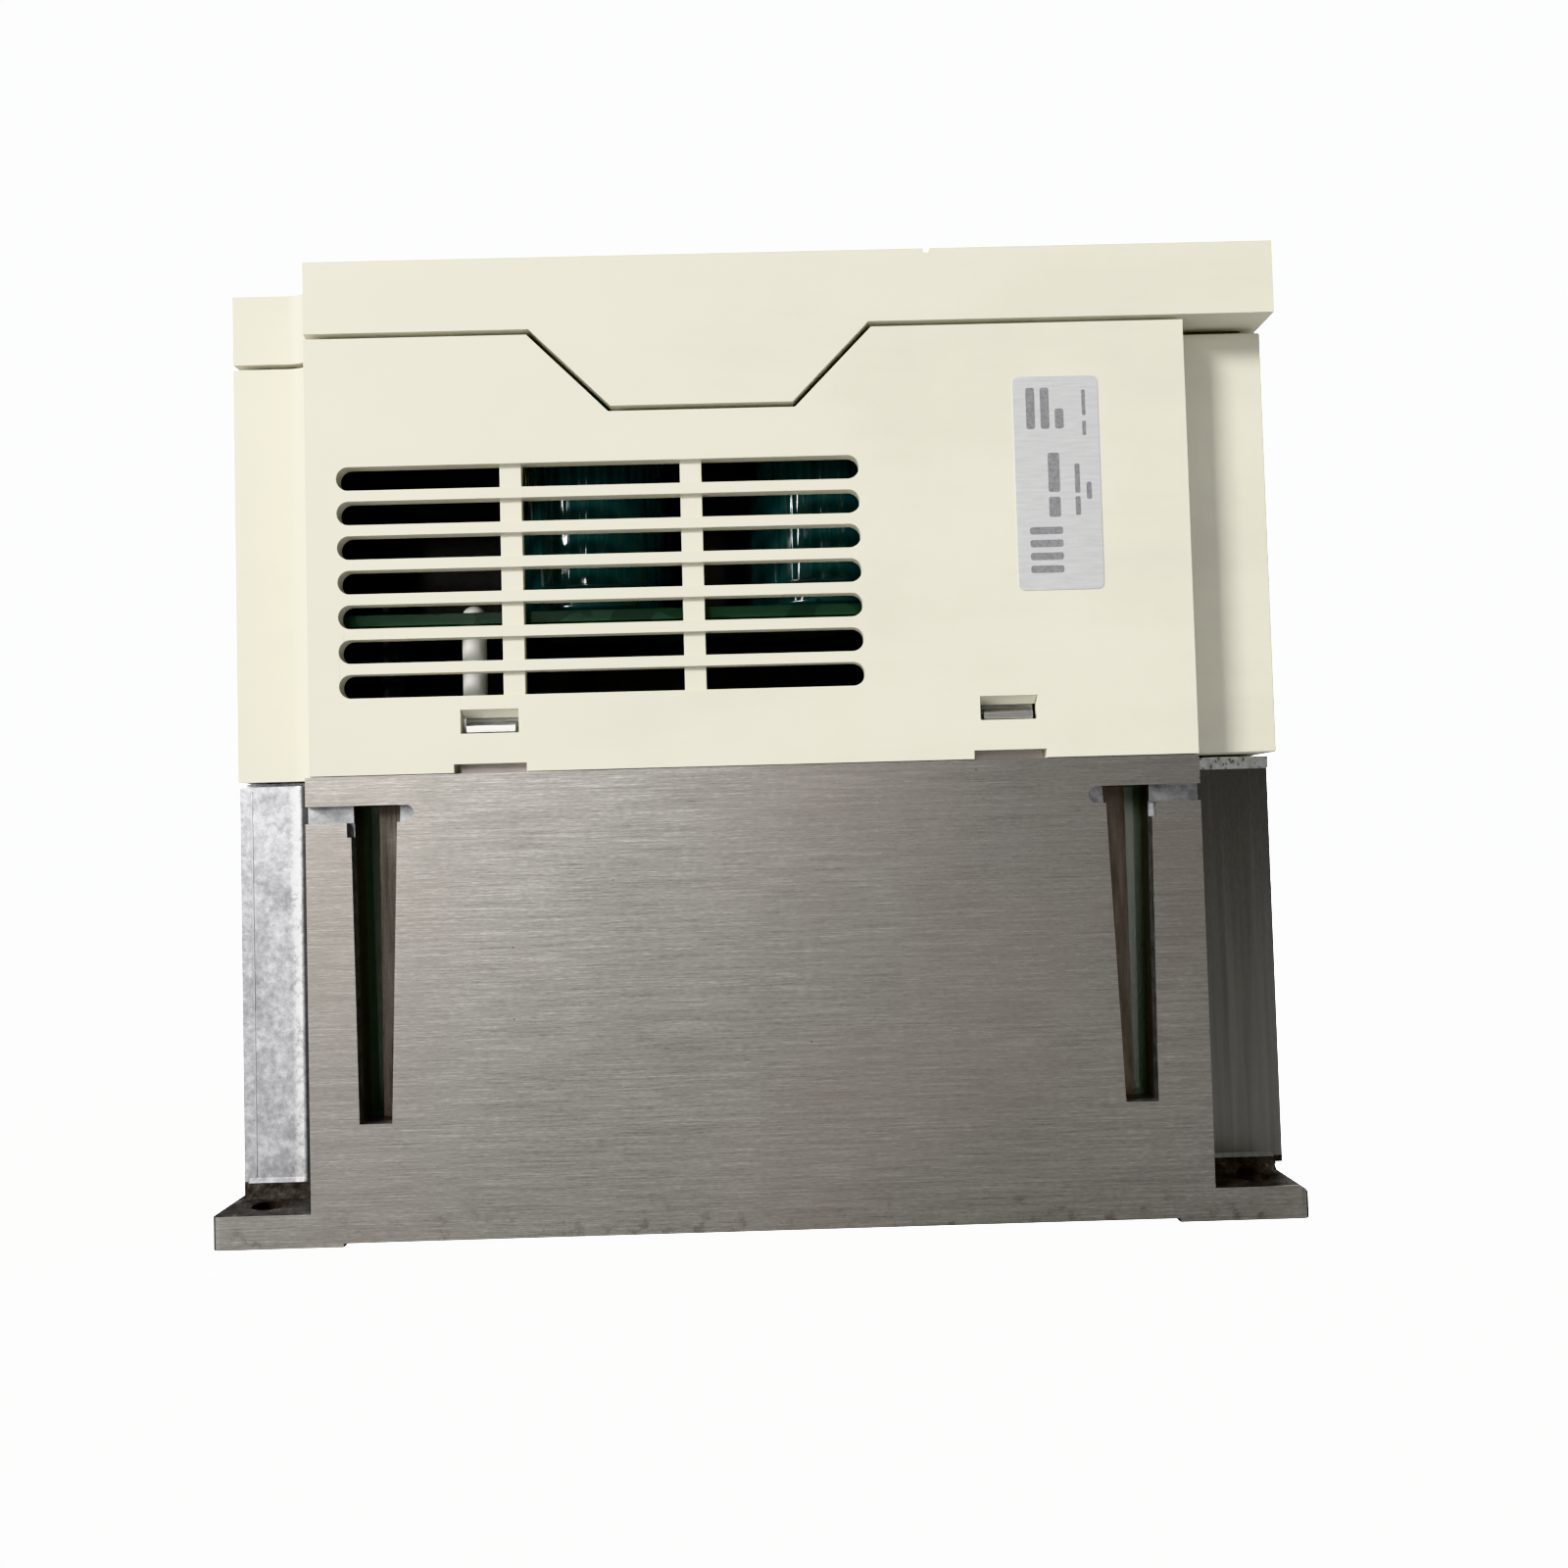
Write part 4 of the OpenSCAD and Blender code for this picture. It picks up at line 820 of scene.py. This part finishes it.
def add_chip(dark, bright, spot, low, high, legs):
    """A flat package with gull-wing legs along its two long sides."""
    x1, y1, x2, y2 = spot
    add_prism(dark, rounded(x1, y1 + 0.9, x2, y2 - 0.9, 0.15, 2), low + 0.1, high)
    count = int((x2 - x1 - 0.4) / legs)
    for k in range(count):
        x = x1 + 0.4 + k * legs
        add_block(bright, (x, y1, low), (x + legs * 0.45, y1 + 0.95, low + 0.25))
        add_block(bright, (x, y2 - 0.95, low), (x + legs * 0.45, y2, low + 0.25))


def add_small_part(body, ends, spot, low, high):
    """A chip resistor or capacitor with plated ends."""
    x1, y1, x2, y2 = spot
    along_x = x2 - x1 > y2 - y1
    cap = 0.22 * max(x2 - x1, y2 - y1)
    if along_x:
        add_block(body, (x1 + cap, y1, low), (x2 - cap, y2, high))
        add_block(ends, (x1, y1, low), (x1 + cap, y2, high + 0.02))
        add_block(ends, (x2 - cap, y1, low), (x2, y2, high + 0.02))
    else:
        add_block(body, (x1, y1 + cap, low), (x2, y2 - cap, high))
        add_block(ends, (x1, y1, low), (x2, y1 + cap, high + 0.02))
        add_block(ends, (x1, y2 - cap, low), (x2, y2, high + 0.02))


def add_track(bm, dice, start, area, low):
    """A printed track: straight runs with slanted jogs, each ending in a round pad."""
    x, y = start
    wide = dice.choice((0.18, 0.25, 0.45))
    for _ in range(dice.choice((2, 3, 4))):
        dx, dy = dice.choice(((1, 0), (0, 1), (0.7, 0.7), (0.7, -0.7), (-1, 0), (0, -1)))
        run = dice.uniform(3, 11)
        x2, y2 = x + dx * run, y + dy * run
        if not (area[0] + 1 < x2 < area[2] - 1 and area[1] + 1 < y2 < area[3] - 1):
            continue
        across = Vector((-(y2 - y), x2 - x)).normalized() * wide / 2
        outline = [(x + across.x, y + across.y), (x - across.x, y - across.y),
                   (x2 - across.x, y2 - across.y), (x2 + across.x, y2 + across.y)]
        add_prism(bm, outline, low - 0.01, low + 0.03)
        pad = rounded(x2 - 0.35, y2 - 0.35, x2 + 0.35, y2 + 0.35, 0.34, 3)
        add_prism(bm, pad, low - 0.01, low + 0.04)
        x, y = x2, y2


def populate(name, board, neighbours, seed, counts, materials):
    """Chips, small parts, tracks and printed outlines on the free area of a board's top."""
    dice = random.Random(seed)
    low, high = ([c / MM for c in corner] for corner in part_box(board))
    top = high[2]
    area = (low[0] + 1.5, low[1] + 1.5, high[0] - 1.5, high[1] - 1.5)
    blocked = []
    for node in neighbours:
        for a, b in solid_boxes(node):
            if a[2] < top + 3.2 and b[2] > top + 0.05:
                blocked.append((a[0], a[1], b[0], b[1]))
    dark, tan, bright, tracks, print_bm = (bmesh.new() for _ in range(5))
    chips, small, track_count = counts
    for _ in range(chips):
        size = dice.choice(((5, 6), (8.8, 6), (4, 5.2), (10, 7.6)))
        spot = free_spot(dice, area, blocked, size)
        if spot:
            add_chip(dark, bright, spot, top, top + 1.5, 1.27)
            edge = rounded(spot[0] - 0.3, spot[1] - 0.25, spot[0] - 0.1, spot[3] + 0.25, 0.08, 2)
            add_prism(print_bm, edge, top, top + 0.03)
    for _ in range(small):
        kind = dice.random()
        size = (1.6, 0.8) if kind < 0.5 else (2.0, 1.25) if kind < 0.8 else (3.2, 1.6)
        if dice.random() < 0.5:
            size = size[::-1]
        spot = free_spot(dice, area, blocked, size)
        if spot:
            body, tall = (dark, 0.5) if kind < 0.5 else (tan, 0.95)
            add_small_part(body, bright, spot, top, top + tall)
            if kind > 0.75:
                edge = rounded(spot[0], spot[1] - 0.5, spot[2], spot[1] - 0.3, 0.08, 2)
                add_prism(print_bm, edge, top, top + 0.03)
    for _ in range(track_count):
        start = (dice.uniform(area[0] + 2, area[2] - 2), dice.uniform(area[1] + 2, area[3] - 2))
        add_track(tracks, dice, start, area, top)
    finish_mesh(name + "_chips", dark, materials["black_plastic"])
    finish_mesh(name + "_small_parts", tan, materials["chip_tan"])
    finish_mesh(name + "_solder", bright, materials["solder"])
    finish_mesh(name + "_tracks", tracks, materials["board_track"])
    finish_mesh(name + "_print", print_bm, materials["print_white"])


def make_boards(materials):
    populate("control", "control_board",
             ["control_chips", "control_terminal_block", "panel_socket", "control_standoffs"], 5,
             (9, 120, 110), materials)
    populate("power", "power_board",
             ["bus_capacitor_1", "bus_capacitor_2", "inrush_relay", "transformer",
              "filter_choke", "film_capacitors", "current_sensors", "bus_bars",
              "power_terminal_block", "charge_lamp", "header_connectors",
              "control_standoffs", "board_screws", "board_posts", "insulating_sheet",
              "power_module", "rectifier", "ribbon_cable"], 8, (5, 90, 90), materials)


# ---------------------------------------------------------------- capacitors and fans

def make_capacitor_tops(materials):
    """Bare aluminium top with a cross vent inside each sleeve's rolled rim."""
    for k in (1, 2):
        low, high = ([c / MM for c in corner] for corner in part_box(f"bus_capacitor_{k}"))
        centre = ((low[0] + high[0]) / 2, (low[1] + high[1]) / 2)
        top = high[2]
        bm = bmesh.new()
        add_lathe(bm, [(0, top - 0.6), (8.9, top - 0.6), (9.1, top - 0.4), (9.1, top - 0.25),
                       (8.8, top - 0.12), (8.3, top - 0.2), (0, top - 0.2)], centre)
        finish_mesh(f"capacitor_top_{k}", bm, materials["solder"])
        bm = bmesh.new()
        for turn in (0, 60, 120):
            spin = Matrix.Rotation(math.radians(turn), 4, "Z")
            place = Matrix.Translation((*centre, 0)) @ spin
            add_prism(bm, rounded(-6, -0.2, 6, 0.2, 0.18, 3), top - 0.25, top - 0.16, place)
        finish_mesh(f"capacitor_vent_{k}", bm, materials["ink"])


HUB_LABEL_R = 8.6


def make_fan_labels(materials):
    """A foil disc with neutral arcs on each fan's hub; it turns with the rotor."""
    for k in (1, 2):
        low, high = ([c / MM for c in corner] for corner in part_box(f"fan_rotor_{k}"))
        y, z = (low[1] + high[1]) / 2, (low[2] + high[2]) / 2
        place = Matrix(((0, 0, -1, low[0]), (-1, 0, 0, y), (0, 1, 0, z), (0, 0, 0, 1)))
        bm = bmesh.new()
        turns = [math.tau * i / 48 for i in range(48)]
        disc = [(HUB_LABEL_R * math.cos(a), HUB_LABEL_R * math.sin(a)) for a in turns]
        add_prism(bm, disc, -SUNK, 0.05, place)
        finish_mesh(f"fan_label_{k}", bm, materials["label_foil"], f"fan_rotor_{k}",
                    smooth=False)
        bm = bmesh.new()
        add_prism(bm, arc(7.9, 7.6, 20, 160, 24), 0.05, 0.07, place)
        add_prism(bm, arc(7.9, 7.6, 200, 340, 24), 0.05, 0.07, place)
        for v, half in ((3.2, 3.4), (1.2, 5.2), (-0.8, 5.2), (-2.8, 4.0)):
            add_prism(bm, rounded(-half, v - 0.4, half, v + 0.4, 0.2, 3), 0.05, 0.07, place)
        finish_mesh(f"fan_label_print_{k}", bm, materials["ink"], f"fan_rotor_{k}",
                    smooth=False)


# ---------------------------------------------------------------- casting details

def make_parting_lines(materials):
    """Thin flash lines left by the mould on the raw cast end."""
    half, proud, x, y, z_low, z_high, steps = 0.11, 0.09, -73.0, 57.98, 7.2, 62.8, 40
    for k, sign in ((1, -1), (2, 1)):
        bm = bmesh.new()
        section = [(-half, -0.05), (half, -0.05), (half * 0.5, proud), (-half * 0.5, proud)]
        rings = []
        dice = random.Random(20 + k)
        for i in range(steps + 1):
            z = z_low + (z_high - z_low) * i / steps
            swell = dice.uniform(0.75, 1.2)
            rings.append([bm.verts.new((x + u * swell, sign * (y + v * swell), z))
                          for u, v in section])
        for a, b in zip(rings, rings[1:]):
            for m in range(4):
                bm.faces.new((a[m], a[(m + 1) % 4], b[(m + 1) % 4], b[m]))
        bm.faces.new(rings[0])
        bm.faces.new(rings[-1][::-1])
        finish_mesh(f"parting_line_{k}", bm, materials["bright_cast"])


def make_window_lips(materials):
    """Sloped upper edges of the four clip windows."""
    x, top, half = 35.9, 72.78, 3.97
    section = [(-69.93, top), (-67.64, top), (-67.64, top - 1.0), (-67.9, top - 1.0)]
    for k, (sx, sy) in enumerate(((-1, -1), (1, -1), (-1, 1), (1, 1)), 1):
        bm = bmesh.new()
        ends = [[bm.verts.new((sx * x + side * half, -sy * y, z)) for y, z in section]
                for side in (-1, 1)]
        for m in range(4):
            n = (m + 1) % 4
            bm.faces.new((ends[0][m], ends[0][n], ends[1][n], ends[1][m]))
        bm.faces.new(ends[0])
        bm.faces.new(ends[1])
        finish_mesh(f"window_lip_{k}", bm, materials["cream_plastic"],
                    bevel=0.05)


# ---------------------------------------------------------------- the scene

make_camera()
make_world()
make_floor()
area_light("key", (-2.7, -2.39, 1.88), 0.95, 168, (1, 0.988, 0.965))
area_light("lamp", (-0.27, -1.30, 0.40), 0.07, 1.9, (1, 0.99, 0.97), tall=0.3)
area_light("back", (0.3, 1.2, 1.1), 0.9, 9)
area_light("wiring_side", (1.3, 0.25, 0.6), 0.6, 6)
bpy.context.scene.view_settings.view_transform = "Khronos PBR Neutral"

MATERIALS = make_materials()
dress_nodes(MATERIALS)
make_labels(MATERIALS)
make_key_signs(MATERIALS)
make_display(MATERIALS)
make_panel_print(MATERIALS)
make_boards(MATERIALS)
make_capacitor_tops(MATERIALS)
make_fan_labels(MATERIALS)
make_parting_lines(MATERIALS)
make_window_lips(MATERIALS)
